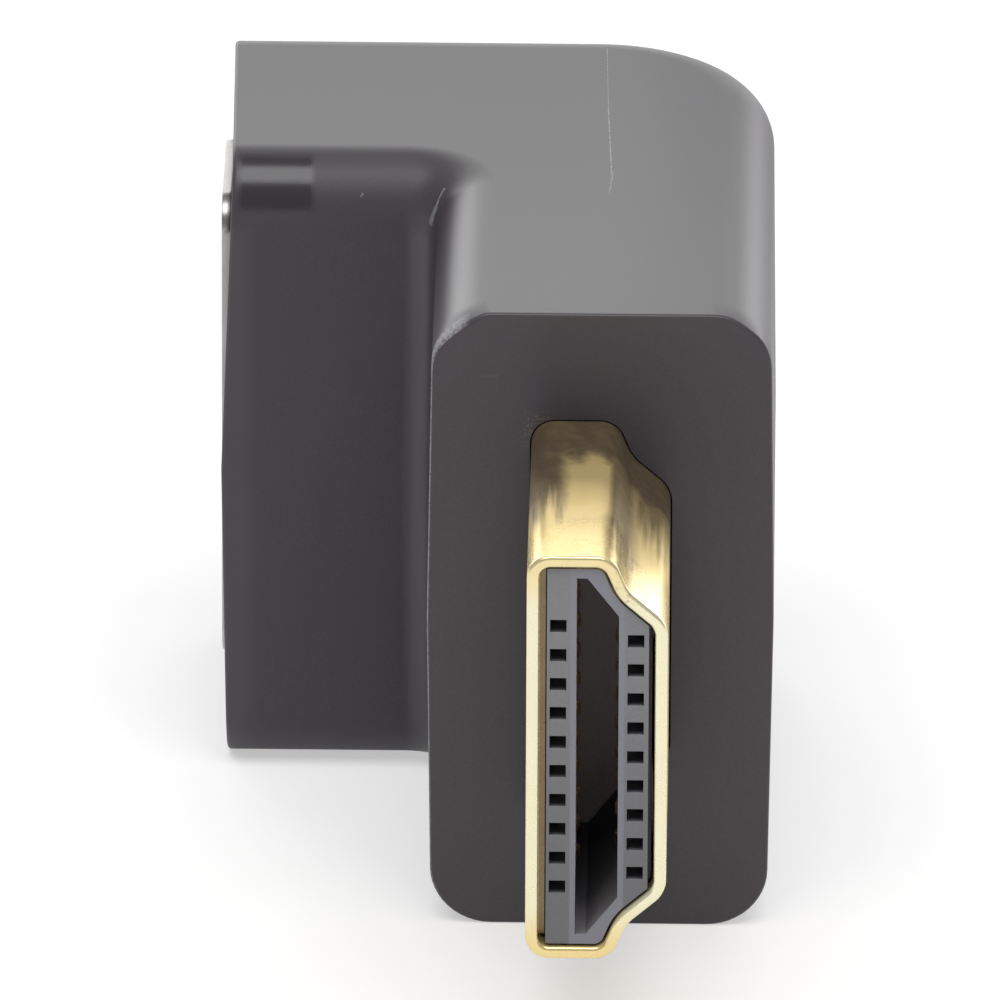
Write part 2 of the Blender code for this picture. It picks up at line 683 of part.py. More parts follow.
def build_socket_insulator():
    """A base that closes the shell's rear, and the tongue that carries the contacts."""
    start = SOCKET_BASE_FRONT_X - SOCKET_FACE_X
    end = SOCKET_BASE_REAR_X - SOCKET_FACE_X
    mesh = extruded(
        "socket_insulator", [section(-SOCKET_ENTRY_GAP + SEAT_GAP)], start, end, SOCKET_FRAME
    )
    block = add_part("socket_insulator", mesh, GREY_MOULDING)

    tip_x = SOCKET_FACE_X + TONGUE_SETBACK
    root_x = SOCKET_BASE_FRONT_X + SOCKET_BASE_THICKNESS / 2
    half = TONGUE_THICKNESS / 2
    side = [
        (root_x, SOCKET_Y - half),
        (root_x, SOCKET_Y + half),
        (tip_x + TONGUE_TIP_CHAMFER, SOCKET_Y + half),
        (tip_x, SOCKET_Y + half - TONGUE_TIP_CHAMFER),
        (tip_x, SOCKET_Y - half + TONGUE_TIP_CHAMFER),
        (tip_x + TONGUE_TIP_CHAMFER, SOCKET_Y - half),
    ]
    bm = bmesh.new()
    add_slab(bm, side, 0.0, TONGUE_WIDTH)
    combine(block, add_cutter("tongue", finish_mesh("tongue", bm)), "UNION")

    groove_depth = CONTACT_SHEET + SEAT_GAP
    for label, count, towards in (("wide", WIDE_ROW_COUNT, -1), ("narrow", NARROW_ROW_COUNT, 1)):
        face_y = SOCKET_Y + towards * half
        floor_y = face_y - towards * groove_depth
        roof_y = face_y + towards * SEAT_GAP
        groove = [
            (tip_x + CONTACT_SETBACK - SEAT_GAP, roof_y),
            (tip_x + CONTACT_SETBACK - SEAT_GAP, floor_y),
            (SOCKET_BASE_REAR_X + CUT_MARGIN, floor_y),
            (SOCKET_BASE_REAR_X + CUT_MARGIN, roof_y),
        ]
        bm = bmesh.new()
        for place in row_places(count):
            add_slab(bm, groove, place, CONTACT_SLOT_WIDTH)
        name = "tongue_grooves_" + label
        combine(block, add_cutter(name, finish_mesh(name, bm)))


def socket_contact_path(towards):
    """Along the tongue, through the base, and out along the board's face."""
    run_y = tongue_row_y(towards)
    foot_x = BOARD_X - BOARD_THICKNESS / 2 - SOLDER_GAP - CONTACT_SHEET / 2
    return [
        (SOCKET_FACE_X + TONGUE_SETBACK + CONTACT_SETBACK, run_y),
        (foot_x, run_y),
        (foot_x, run_y + towards * SOLDER_TAIL),
    ]


def build_socket_contacts():
    """Odd contacts in the face towards the plug's side and even ones in the other."""
    for index, place in enumerate(row_places(WIDE_ROW_COUNT)):
        add_contact("socket_contact_%02d" % (2 * index + 1), socket_contact_path(-1), place)
    for index, place in enumerate(row_places(NARROW_ROW_COUNT)):
        add_contact("socket_contact_%02d" % (2 * index + 2), socket_contact_path(1), place)


def build_board():
    """The board that stands between the plug's solder tails and behind the socket."""
    half_height = BAY_HEIGHT / 2 - SHELL_GAP
    low = (BOARD_X - BOARD_THICKNESS / 2, BOARD_FRONT_Y, -half_height)
    high = (BOARD_X + BOARD_THICKNESS / 2, BAY_END_Y - SHELL_GAP, half_height)
    add_part("circuit_board", box_mesh("circuit_board", low, high), BOARD_GREEN)


build_housing()
build_plug_shell()
build_plug_insulator()
build_plug_contacts()
build_socket_shell()
build_socket_insulator()
build_socket_contacts()
build_board()
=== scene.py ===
"""Shapes and looks of a right angle audio and video adapter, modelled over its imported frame.

Metres, +Z up. The plug points along -Y, the arm turns to -X, and the socket is in its end.
"""

import math

import bmesh
import bpy
from mathutils import Matrix, Vector


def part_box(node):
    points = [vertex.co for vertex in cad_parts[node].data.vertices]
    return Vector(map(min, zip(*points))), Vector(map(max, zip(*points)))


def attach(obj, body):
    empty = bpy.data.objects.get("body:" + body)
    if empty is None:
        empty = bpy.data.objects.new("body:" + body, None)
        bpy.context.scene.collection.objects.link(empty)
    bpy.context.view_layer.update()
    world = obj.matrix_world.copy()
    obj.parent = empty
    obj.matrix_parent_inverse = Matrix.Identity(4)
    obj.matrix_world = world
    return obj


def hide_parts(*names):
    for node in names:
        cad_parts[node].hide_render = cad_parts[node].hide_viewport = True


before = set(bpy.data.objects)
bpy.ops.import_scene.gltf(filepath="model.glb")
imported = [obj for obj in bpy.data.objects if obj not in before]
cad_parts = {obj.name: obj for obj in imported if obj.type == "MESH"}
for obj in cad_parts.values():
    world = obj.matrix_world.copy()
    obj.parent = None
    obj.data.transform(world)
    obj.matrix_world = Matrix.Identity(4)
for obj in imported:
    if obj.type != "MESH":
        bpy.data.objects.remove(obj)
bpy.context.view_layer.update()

# Axes, and how near a corner has to lie: to a place, or to a wall that leans
X, Y, Z = 0, 1, 2
TOUCH = 0.00002
LEAN = 0.0005

# Places read from the frame
HOUSING_LOW, HOUSING_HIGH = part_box("housing")
SHELL_LOW, SHELL_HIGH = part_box("plug_shell")
SOCKET_LOW, SOCKET_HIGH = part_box("socket_shell")
BLOCK_LOW, BLOCK_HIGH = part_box("plug_insulator")
BASE_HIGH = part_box("socket_insulator")[1]
MIDDLE_Z = (HOUSING_LOW.z + HOUSING_HIGH.z) / 2
PLUG_X = (SHELL_LOW.x + SHELL_HIGH.x) / 2
SOCKET_Y = (SOCKET_LOW.y + SOCKET_HIGH.y) / 2
PLUG_WIDTH = SHELL_HIGH.z - SHELL_LOW.z
PLUG_THICKNESS = SHELL_HIGH.x - SHELL_LOW.x
PLUG_LENGTH = SHELL_HIGH.y - SHELL_LOW.y
INSULATOR_SETBACK = BLOCK_LOW.y - SHELL_LOW.y
FRONT_Y = HOUSING_LOW.y
BACK_Y = HOUSING_HIGH.y
RIGHT_X = HOUSING_HIGH.x
LEFT_X = 2 * PLUG_X - RIGHT_X
ARM_END_X = HOUSING_LOW.x
ARM_FRONT_Y = 2 * SOCKET_Y - BACK_Y

# Housing
OUTER_BEND = 0.0057
INNER_BEND = 0.0011
EDGE_RADIUS = 0.0019
RIM_RADIUS = 0.00009
CORNER_RIM = 0.00016
CORNER_FLAT_DEPTHS = {-1: 0.00028, 1: 0.00010}
CORNER_FLAT_SHARE = 0.62
CORNER_FLAT_ANGLE = math.radians(38)
CORNER_FLAT_LENGTH = 0.0011
SIDE_DRAFT = math.radians(0.8)
END_DRAFT = math.radians(0.9)
END_TWIST = 0.00022
HOUSING_WALL = 0.0016
BAY_HALF_WIDTH = 0.0030
BAY_HEIGHT = 0.0160
PASSAGE_GAP = 0.00005
SHELL_GAP = 0.00020
SEAT_GAP = 0.00008

# Section that the plug and the socket share: heights are above the wide face
SHOULDER_HEIGHT = 0.0027
WAIST_HEIGHT = 0.0032
WAIST_WIDTH = 0.0115
NARROW_WIDTH = 0.0093
WIDE_CORNER = 0.00075
SHOULDER_CORNER = 0.00075
WAIST_CORNER = 0.0012
NARROW_CORNER = 0.0009

# Plug shell
PLUG_SHEET = 0.00040
PLUG_RIM_EDGE = 0.00012
WINDOW_SIZE = (0.0016, 0.0019)
WINDOW_SETBACK = 0.0040
WINDOW_SPACING = 0.0066
FOLD_SHEET = 0.00020
FOLD_MARGIN = 0.0006

# Block inside the plug
WIDE_SIDE_GAP = 0.00024
NARROW_SIDE_GAP = 0.00019
STEP_DEPTH = 0.0005
SLOT_HEIGHT = 0.00157
SLOT_THICKNESS = 0.00134
SLOT_WIDTH = 0.0123
SLOT_NARROW = 0.0097
SLOT_CHAMFER = 0.00100
SLOT_DEPTH = 0.0088
CONTACT_PITCH = 0.0010
WIDE_COUNT = 10
NARROW_COUNT = 9
CONTACT_SLOT_WIDTH = 0.00044
CONTACT_SLOT_HEIGHT = 0.00052
CONTACT_SLOT_LIP = 0.00040
WIDE_SLOT_EDGE = 0.00010
NARROW_SLOT_EDGE = 0.00015
CONTACT_SHEET = 0.00015
CONTACT_SETBACK = 0.0009

# Socket
ENTRY_GAP = 0.00010
SOCKET_SHEET = 0.00030
SOCKET_DEPTH = 0.0102
FLANGE_SHEET = 0.00030
FLANGE_CORNER = 0.0011
FINGER_WIDTH = 0.0020
FINGER_LENGTH = 0.0050
FINGER_SHEET = 0.00020
FINGER_CREST = 0.0035
FINGER_DIP = 0.00045
FINGER_TIP_DIP = 0.00015
FINGER_SPACING = 0.0068
FINGER_SETBACK = 0.0020
FINGER_SLIT = 0.00030
TONGUE_WIDTH = 0.0116
TONGUE_THICKNESS = 0.00100
TONGUE_SETBACK = 0.0018
TONGUE_CHAMFER = 0.00025
BASE_THICKNESS = 0.0028

# Smoothness and cuts
BEND_STEPS = 28
EDGE_STEPS = 12
CORNER_STEPS = 8
RIM_STEPS = 4
CUT_MARGIN = 0.0010
FINE_EDGE = 0.00003
FINE_STEPS = 2
FINE_ANGLE = math.radians(50)
SMOOTH_ANGLE = math.radians(35)
FLAT_ANGLE = math.radians(1)
STRAIGHT_SHARE = 0.98

# Frames of the two connectors: thickness along X, inwards along Y, width along Z
PLUG_PLACE = Matrix.Translation((PLUG_X, SHELL_LOW.y, MIDDLE_Z))
SOCKET_PLACE = Matrix.Translation((SOCKET_LOW.x, SOCKET_Y, MIDDLE_Z)) @ Matrix(
    ((0, 1, 0, 0), (1, 0, 0, 0), (0, 0, -1, 0), (0, 0, 0, 1))
)
WIDE_FACE = -PLUG_THICKNESS / 2
WIDE_INSIDE = WIDE_FACE + PLUG_SHEET
NARROW_INSIDE = -WIDE_INSIDE

# The photograph's view: pixels are taken in a picture 1000 wide
VIEW_AZIMUTH = math.radians(0.487)
VIEW_ELEVATION = math.radians(23.764)
VIEW_ROLL = math.radians(0.363)
VIEW_DISTANCE = 0.69481
VIEW_SCALE = 31262.0
TARGET_PIXEL = (600.16, 621.30)
IMAGE_SIZE = 1000
SENSOR_WIDTH = 36.0

# Patterns: how many clouds to a metre, how detailed, and for some how many along each axis
CHARCOAL_CLOUDS = (240.0, 3.0)
CHARCOAL_PORES = (12000.0, 2.0)
CHARCOAL_CRUMBS = (11000.0, 3.0)
GOLD_MOTTLE = (1500.0, 4.0)
GOLD_SPECKS = (2200.0, 4.0)
GOLD_WEAR = (500.0, 2.0)
GOLD_LINES = (1.0, 3.0, (5200, 260, 5200))
GOLD_WAVES = (1.0, 0.0, (3600, 250, 3600))
GREY_SPECKLE = (9000.0, 3.0)
GREY_CLOUDS = (700.0, 2.0)
SHEET_CLOUDS = (900.0, 3.0)
SHEET_ROLLED = (1.0, 3.0, (900, 9000, 900))
WEAVE_ACROSS = (1.0, 1.0, (1500, 600, 6000))
WEAVE_UPWARDS = (1.0, 1.0, (1500, 6000, 600))
FLOOR_PAPER = (400.0, 2.0)
PATTERN_RANGE = (0.3, 0.7)
WEAVE_RANGE = (0.4, 0.7)

# Dark plastic. A stretch is measured from the wall or piece that it lies by, but the polish's
# length from the origin. A ragged stretch comes after the swing of its pattern.
CHARCOAL_TONES = ((0.064, 0.055, 0.066), (0.072, 0.062, 0.074))
PORE_RANGE = (0.45, 0.75)
PORE_LEVELS = (0.0, 0.25)
PORE_TONE = (0.100, 0.095, 0.103)
PORE_DEPTH = 0.0000012
# Painted sheen: the top face and the top of its rounding take a lighter, more neutral tone
TOP_SHEEN = (-0.0008, -0.0001)
TOP_SHEEN_LEVELS = (0.0, 0.6)
TOP_SHEEN_TONE = (0.068, 0.066, 0.067)
# Painted light on the arm's front towards its end, and a painted highlight on the fillet of the
# inner bend
END_PAINTED_LIGHT = (0.0005, (0.0004, 0.0014))
BEND_PAINTED_HIGHLIGHT = ((-0.0009, -0.0006), (-0.0003, 0.0))
PAINTED_LIGHT_HEIGHT = (-EDGE_RADIUS, -1.3 * EDGE_RADIUS)
PAINTED_LIGHT_SHARE = 0.6
PAINTED_LIGHT_TONE = (0.105, 0.100, 0.108)
POLISH_LENGTH = ((-0.00860, -0.00820), (-0.00616, -0.00582))
POLISH_HEIGHT = ((-1.25 * EDGE_RADIUS, -0.65 * EDGE_RADIUS), (-0.00022, -0.00006))
# The polished patch's lower roughness is real gloss; its darker colour is painted shade
POLISH_SHADE_SHARE = 0.55
POLISH_SHADE_TONE = (0.025, 0.022, 0.026)
POLISH_SHINE = 0.30
SATIN_LEVELS = (0.37, 0.43)
SATIN_SWING = 0.02
RIGHT_SATIN_LEVELS = (0.0, 0.05)
ARM_EDGE_LENGTH = (0.0, -0.001)
ARM_EDGE_HEIGHT = (-0.00005, -0.00020)
ARM_EDGE_SATIN = 0.12

# Dark plastic: worn edges carrying a painted highlight on the front rim, dirt, and marks that have
# a start, an end and a width each
RIM_SETBACK = (0.00001, 0.00003)
# Wear at the top-left corner and down the left rim of the front face, with a painted highlight on
# that rim
CORNER_WEAR_AND_HIGHLIGHT_DEPTH = (0.0003, (0.00045, 0.00065))
CORNER_WEAR_AND_HIGHLIGHT_WIDTH = (0.0004, (0.0010, 0.0014))
CORNER_WEAR_AND_HIGHLIGHT_HEIGHT = (-0.0030, -0.0020)
SIDE_WEAR_AND_HIGHLIGHT_DEPTH = (0.00015, 0.00030)
SIDE_WEAR_AND_HIGHLIGHT_WIDTH = (0.0003, 0.0005)
SIDE_WEAR_AND_HIGHLIGHT_LEVELS = (0.90, 0.0)
WEAR_AND_HIGHLIGHT_RANGE = (0.35, 0.60)
WEAR_AND_HIGHLIGHT_LEVELS = (0.35, 1.0)
SCRATCHES = (
    ((0.00340, 0.01560, HOUSING_HIGH.z), (0.00350, 0.01030, HOUSING_HIGH.z), 0.00003),
    ((0.00350, 0.01030, HOUSING_HIGH.z), (0.00366, 0.00480, HOUSING_HIGH.z), 0.00006),
    ((0.00371, 0.00500, HOUSING_HIGH.z), (0.00360, 0.00325, HOUSING_HIGH.z), 0.00005),
)
SCRATCH_RANGE = (0.35, 0.55)
SCRATCH_LEVELS = (0.10, 0.75)
RUBS = (
    ((-0.00217, 0.00480, 0.01955), (-0.00201, 0.00480, 0.02008), 0.00024),
    ((-0.00201, 0.00480, 0.02008), (-0.00175, 0.00504, 0.02064), 0.00012),
    ((-0.00445, 0.00540, 0.02020), (-0.00438, 0.00546, 0.02027), 0.00008),
)
WORN_AND_HIGHLIGHT_SHARE = 0.9
WORN_AND_HIGHLIGHT_TONE = (0.38, 0.38, 0.40)
WORN_ROUGHNESS = 0.15
WORN_DEPTH = 0.000008
SMEARS = (((-0.00030, FRONT_Y, 0.01915), (0.00015, FRONT_Y, 0.01915), 0.00010),)
SMEAR_SHARE = 0.5
ROOT_DIRT_WIDTH = ((-0.0005, 0.0), (0.0003, 0.0009))
ROOT_DIRT_HEIGHT = ((-0.0012, -0.0006), (0.0001, 0.0005))
ROOT_DIRT_DEPTH = (0.00002, 0.00010)
ROOT_DIRT_RANGE = (0.50, 0.62)
ROOT_DIRT_SHARE = 0.7
DIRT_TONE = (0.16, 0.12, 0.085)

# Gold plating. The stains of the root, walls and corner, the haze and the dull root run out from
# the housing. Other stretches are measured from the part of the plug that they lie by.
GOLD_METALLIC = 0.65
GOLD_TONES = ((1.00, 0.80, 0.39), (0.95, 0.73, 0.31))
GOLD_ROUGHNESS = (0.24, 0.30)
LIP_DEPTH = (0.0001, 0.0003)
LIP_UPPER = (-0.0006, -0.0020)
LIP_UPPER_LEVELS = (0.30, 1.0)
LIP_LOWER = (0.0003, 0.0020)
# Painted highlight: the lip is paler, less so at the top and not at the bottom
LIP_HIGHLIGHT_TONE = (1.00, 0.94, 0.66)
SLANT_HEIGHT = (-0.0036, -0.0026)
NARROW_SIDE = (0.0009, 0.0013)
NARROW_SIDE_SHARE = 0.82
VALLEY = ((0.0002, 0.0005), (0.0009, 0.0014))
VALLEY_SHARE = 0.85
CORNER_STAIN_WIDTH = (0.0003, (0.0008, 0.0015))
CORNER_STAIN_HEIGHT = (-0.0018, -0.0008)
ROOT_STAIN = (0.0020, (0.0021, 0.0040))
NARROW_STAIN = (0.0065, (0.0030, 0.0075))
VALLEY_STAIN = (0.0080, (0.0070, 0.0105))
CORNER_STAIN = (0.0050, (0.0055, 0.0085))
HAZE = (0.0060, 0.0090)
HAZE_LEVELS = (0.11, 0.0)
SPECK_RANGE = (0.30, 0.60)
SPECK_LEVELS = (0.92, 1.0)
# Painted shade on the recessed fold and inside the shell's narrow wall, in the stains' brown
FOLD_SHADE_WIDTH = ((PLUG_SHEET, PLUG_SHEET + 0.00002), (PLUG_SHEET + FOLD_SHEET, 0.0008))
FOLD_SHADE_DEPTH = (0.0004, 0.0006)
FOLD_SHADE_END = (-FOLD_MARGIN, 0.00005 - FOLD_MARGIN)
FOLD_SHADE_SHARE = 0.9
HOLLOW_WIDTH = ((0.0014, 0.0016), (NARROW_INSIDE + 0.00003, NARROW_INSIDE + 0.00006))
HOLLOW_END = (-0.0006, -0.0004)
HOLLOW_DEPTH = (0.0003, 0.0005)
HOLLOW_SHADE_SHARE = 0.75
STAIN_AND_SHADE_SHARE = 0.92
STAIN_AND_SHADE_TONE = (0.130, 0.092, 0.066)
DULL_ROOT = (0.0015, (0.0055, 0.0085))
DULL_SHARE = 0.4
DULL_TONE = (0.80, 0.62, 0.30)
DULL_ROUGHNESS = 0.22
GOLD_WAVE_DEPTH = 0.0000012

# Grey plastic: stretches are measured from the block's ends and middle and its slot's walls
GREY_TONES = ((0.295, 0.295, 0.315), (0.335, 0.335, 0.350))
SPECKLE_RANGE = (0.35, 0.65)
SPECKLE_LEVELS = (0.0, 0.35)
SPECKLE_TONE = (0.390, 0.390, 0.400)
SPECKLE_DEPTH = 0.000004
# Painted shade: the block darker towards its bottom
FOOT_SHADE_LEVELS = (0.0, 0.50)
FOOT_SHADE_TONE = (0.10, 0.10, 0.11)
# Painted shade: the block darker behind its front face, inside the shell and slots
INSIDE_FRONT = (0.00003, 0.00010)
INSIDE_REAR = (0.0, 0.0001)
INSIDE_SHADE_TONE = (0.115, 0.115, 0.130)
SLOT_WALL = (0.0, 0.00005)
# Painted highlight: a pale bluish band on the front face beside the tongue's slot
SLOT_EDGE_HIGHLIGHT = (0.00014, 0.00022)
SLOT_EDGE_HIGHLIGHT_LEVELS = (0.6, 0.0)
SLOT_EDGE_HIGHLIGHT_DEPTH = (0.0002, 0.0003)
SLOT_EDGE_HIGHLIGHT_TONE = (0.36, 0.36, 0.43)
# Painted light: a pale tone on the tongue's slot's walls, floor and rear, where the slot lies in
# shade
SLOT_FLOOR = (-0.0050, -0.0040)
SLOT_REAR = (-0.0002, -0.0001)
SLOT_FLOOR_DEPTH = (0.0016, 0.0030)
SLOT_FLOOR_LEVELS = (0.12, 0.0)
SLOT_LIGHT_TONES = ((0.70, 0.64, 0.64), (0.90, 0.82, 0.80))
GREY_ROUGHNESS = (0.45, 0.60)

# Sheet metals, the board and the floor: tones and roughness
NICKEL_TONES = ((0.50, 0.50, 0.51), (0.44, 0.42, 0.39))
NICKEL_ROUGHNESS = (0.30, 0.40)
CONTACT_TONES = ((0.90, 0.72, 0.38), (0.78, 0.60, 0.30))
CONTACT_ROUGHNESS = (0.24, 0.34)
ROLLED_DEPTH = 0.0000015
LACQUER_TONES = ((0.020, 0.120, 0.055), (0.040, 0.200, 0.100))
LACQUER_ROUGHNESS = (0.30, 0.45)
WEAVE_DEPTH = 0.000010
FLOOR_TONES = ((0.60, 0.60, 0.60), (0.62, 0.62, 0.62))
FLOOR_ROUGHNESS = (0.9, 1.0)
FLOOR_SIZE = 6.0
FLOOR_GLOW = 0.48
WHITE = (1, 1, 1, 1)

# Light: each lamp's place, the point it faces, its size and its radiance
SURROUND_STRENGTH = 0.25
LAMPS = {
    "overhead_softbox": ((0.0, -0.18, 0.50), (0.0, -0.18, 0.0), (0.50, 0.33), 4.0),
    "rear_lower_panel": ((0.0, 0.55, 0.14), (0.0, 0.0, 0.01), (0.36, 0.26), 1.75),
    "rear_upper_panel": ((0.0, 0.50, 0.355), (0.0, 0.0, 0.01), (0.80, 0.12), 2.7),
    "rear_right_panel": ((0.36, 0.46, 0.09), (0.0, 0.0, 0.01), (0.44, 0.17), 3.6),
    "rear_left_panel": ((-0.29, 0.50, 0.12), (0.0, 0.0, 0.01), (0.32, 0.17), 3.4),
}

# Sockets of a colour mix node
MIX_FACTOR = 0
MIX_FIRST = 6
MIX_SECOND = 7
MIX_RESULT = 2


def pick_object(piece):
    """Make a piece the active one, with nothing else selected."""
    bpy.ops.object.select_all(action="DESELECT")
    piece.select_set(True)
    bpy.context.view_layer.objects.active = piece


def settle(piece):
    """Apply a piece's place to its mesh, so that its object sits at the origin."""
    pick_object(piece)
    bpy.ops.object.transform_apply(location=True, rotation=True, scale=True)


def block(name, low, high):
    """Start a piece as a box between two corners."""
    low = Vector(low)
    high = Vector(high)
    bpy.ops.object.select_all(action="DESELECT")
    bpy.ops.mesh.primitive_cube_add(size=1, location=(low + high) / 2, scale=high - low)
    piece = bpy.context.active_object
    piece.name = name
    settle(piece)
    return piece


def edit(piece):
    """Open a piece in edit mode with nothing selected."""
    pick_object(piece)
    bpy.ops.object.mode_set(mode="EDIT")
    bpy.ops.mesh.select_all(action="DESELECT")


def done():
    """Leave edit mode."""
    bpy.ops.object.mode_set(mode="OBJECT")


def at(axis, place, within=TOUCH):
    """A test that every corner lies at a place along an axis."""
    return lambda corners: all(abs(corner[axis] - place) < within for corner in corners)


def between(axis, low, high):
    """A test that every corner lies between two places along an axis."""
    return lambda corners: all(low - TOUCH < corner[axis] < high + TOUCH for corner in corners)


def away(axis, place, within=TOUCH):
    """A test that some corner lies off a place along an axis."""
    return lambda corners: any(abs(corner[axis] - place) > within for corner in corners)


def along(axis):
    """A test that an edge runs along an axis."""
    def runs(corners):
        span = corners[0] - corners[1]
        return abs(span[axis]) > STRAIGHT_SHARE * span.length
    return runs


def pick(kind, *tests):
    """Select, in edit mode, the vertices, edges or faces whose corners pass every test."""
    bpy.ops.mesh.select_mode(type=kind)
    bpy.ops.mesh.select_all(action="DESELECT")
    mesh = bpy.context.edit_object.data
    shape = bmesh.from_edit_mesh(mesh)
    for item in {"VERT": shape.verts, "EDGE": shape.edges, "FACE": shape.faces}[kind]:
        corners = [item.co] if kind == "VERT" else [vert.co for vert in item.verts]
        if all(test(corners) for test in tests):
            item.select_set(True)
    shape.select_flush_mode()
    bmesh.update_edit_mesh(mesh)


def pick_all():
    """Select the whole mesh in edit mode."""
    bpy.ops.mesh.select_all(action="SELECT")


def slice_at(axis, place):
    """Cut a loop of edges round the mesh in a plane square to an axis."""
    pick_all()
    middle = Vector((0, 0, 0))
    normal = Vector((0, 0, 0))
    middle[axis] = place
    normal[axis] = 1
    bpy.ops.mesh.bisect(plane_co=middle, plane_no=normal)


def move(x=0.0, y=0.0, z=0.0):
    """Move what is selected."""
    bpy.ops.transform.translate(value=(x, y, z))


def extrude(x=0.0, y=0.0, z=0.0):
    """Extrude what is selected."""
    bpy.ops.mesh.extrude_region_move(TRANSFORM_OT_translate={"value": (x, y, z)})


def round_edges(width, steps):
    """Round the selected edges."""
    bpy.ops.mesh.bevel(
        offset=width, offset_type="OFFSET", segments=steps, affect="EDGES", clamp_overlap=False
    )


def apply_modifier(piece, kind, **settings):
    """Add a modifier, set it and apply it."""
    modifier = piece.modifiers.new(kind.lower(), kind)
    for name, value in settings.items():
        setattr(modifier, name, value)
    pick_object(piece)
    bpy.ops.object.modifier_apply(modifier=modifier.name)


def combine(piece, tool, operation="DIFFERENCE"):
    """Cut a tool out of a piece, or join it on, and remove the tool."""
    apply_modifier(piece, "BOOLEAN", operation=operation, solver="EXACT", object=tool)
    bpy.data.objects.remove(tool, do_unlink=True)


def repeat_along_z(piece, count):
    """Repeat a piece at the contacts' pitch."""
    apply_modifier(
        piece,
        "ARRAY",
        count=count,
        use_relative_offset=False,
        use_constant_offset=True,
        constant_offset_displace=(0, 0, CONTACT_PITCH),
    )


def soften(piece):
    """Break a piece's sharp edges very slightly, as moulding and stamping leave them."""
    apply_modifier(
        piece,
        "BEVEL",
        width=FINE_EDGE,
        segments=FINE_STEPS,
        limit_method="ANGLE",
        angle_limit=FINE_ANGLE,
    )


def place(piece, matrix):
    """Take a piece from a connector's own frame to its place on the adapter."""
    piece.matrix_world = matrix
    settle(piece)
    return piece


def shade(piece):
    """Shade a piece smooth up to its sharp edges, with its flat faces kept flat."""
    pick_object(piece)
    bpy.ops.object.shade_smooth_by_angle(angle=SMOOTH_ANGLE)
    apply_modifier(piece, "WEIGHTED_NORMAL", keep_sharp=True)


def first_place(count):
    """Where the first of a row of contacts lies across the connector."""
    return -CONTACT_PITCH * (count - 1) / 2


def reach(before, corner, after, radius):
    """How far along its sides a corner has to be cut back for a radius."""
    turn = (corner - before).angle(after - corner)
    return radius * math.tan(turn / 2)


def sleeve(name, outset, front, rear):
    """An open sleeve with the connectors' section, outset from the plug's outside."""
    wide_low = (WIDE_FACE, front, -PLUG_WIDTH / 2)
    shoulder_high = (WIDE_FACE + SHOULDER_HEIGHT, rear, PLUG_WIDTH / 2)
    piece = block(name, wide_low, shoulder_high)
    edit(piece)
    pick("FACE", at(X, WIDE_FACE + SHOULDER_HEIGHT))
    extrude(x=WAIST_HEIGHT - SHOULDER_HEIGHT)
    bpy.ops.transform.resize(value=(1, 1, WAIST_WIDTH / PLUG_WIDTH))
    extrude(x=PLUG_THICKNESS - WAIST_HEIGHT)
    bpy.ops.transform.resize(value=(1, 1, NARROW_WIDTH / WAIST_WIDTH))
    for end in (front, rear):
        pick("FACE", at(Y, end))
        bpy.ops.mesh.delete(type="FACE")

    low = Vector((WIDE_FACE, 0))
    wide = Vector((WIDE_FACE, PLUG_WIDTH / 2))
    shoulder = Vector((WIDE_FACE + SHOULDER_HEIGHT, PLUG_WIDTH / 2))
    waist = Vector((WIDE_FACE + WAIST_HEIGHT, WAIST_WIDTH / 2))
    narrow = Vector((-WIDE_FACE, NARROW_WIDTH / 2))
    high = Vector((-WIDE_FACE, 0))
    corners = (
        (low, wide, shoulder, WIDE_CORNER),
        (wide, shoulder, waist, SHOULDER_CORNER),
        (shoulder, waist, narrow, WAIST_CORNER),
        (waist, narrow, high, NARROW_CORNER),
    )
    for before, corner, after, radius in corners:
        pick("EDGE", along(Y), at(X, corner.x), away(Z, 0.0, abs(corner.y) - TOUCH))
        round_edges(reach(before, corner, after, radius), CORNER_STEPS)
    pick_all()
    bpy.ops.mesh.normals_make_consistent(inside=False)
    if outset:
        bpy.ops.transform.shrink_fatten(value=outset, use_even_offset=True)
    done()
    return piece


def solid_section(name, outset, front, rear):
    """A solid with the connectors' section: a sleeve closed at both ends."""
    piece = sleeve(name, outset, front, rear)
    edit(piece)
    for end in (front, rear):
        pick("EDGE", at(Y, end))
        bpy.ops.mesh.edge_face_add()
    pick_all()
    bpy.ops.mesh.normals_make_consistent(inside=False)
    done()
    return piece


def flange_plate(name, outset, front, rear):
    """A plate with the flange's rounded outline, square to the socket's axis."""
    low = Vector((SOCKET_LOW.x + front, SOCKET_LOW.y - outset, SOCKET_LOW.z - outset))
    high = Vector((SOCKET_LOW.x + rear, SOCKET_HIGH.y + outset, SOCKET_HIGH.z + outset))
    piece = block(name, low, high)
    edit(piece)
    pick("EDGE", along(X))
    round_edges(FLANGE_CORNER + outset, CORNER_STEPS)
    done()
    return piece


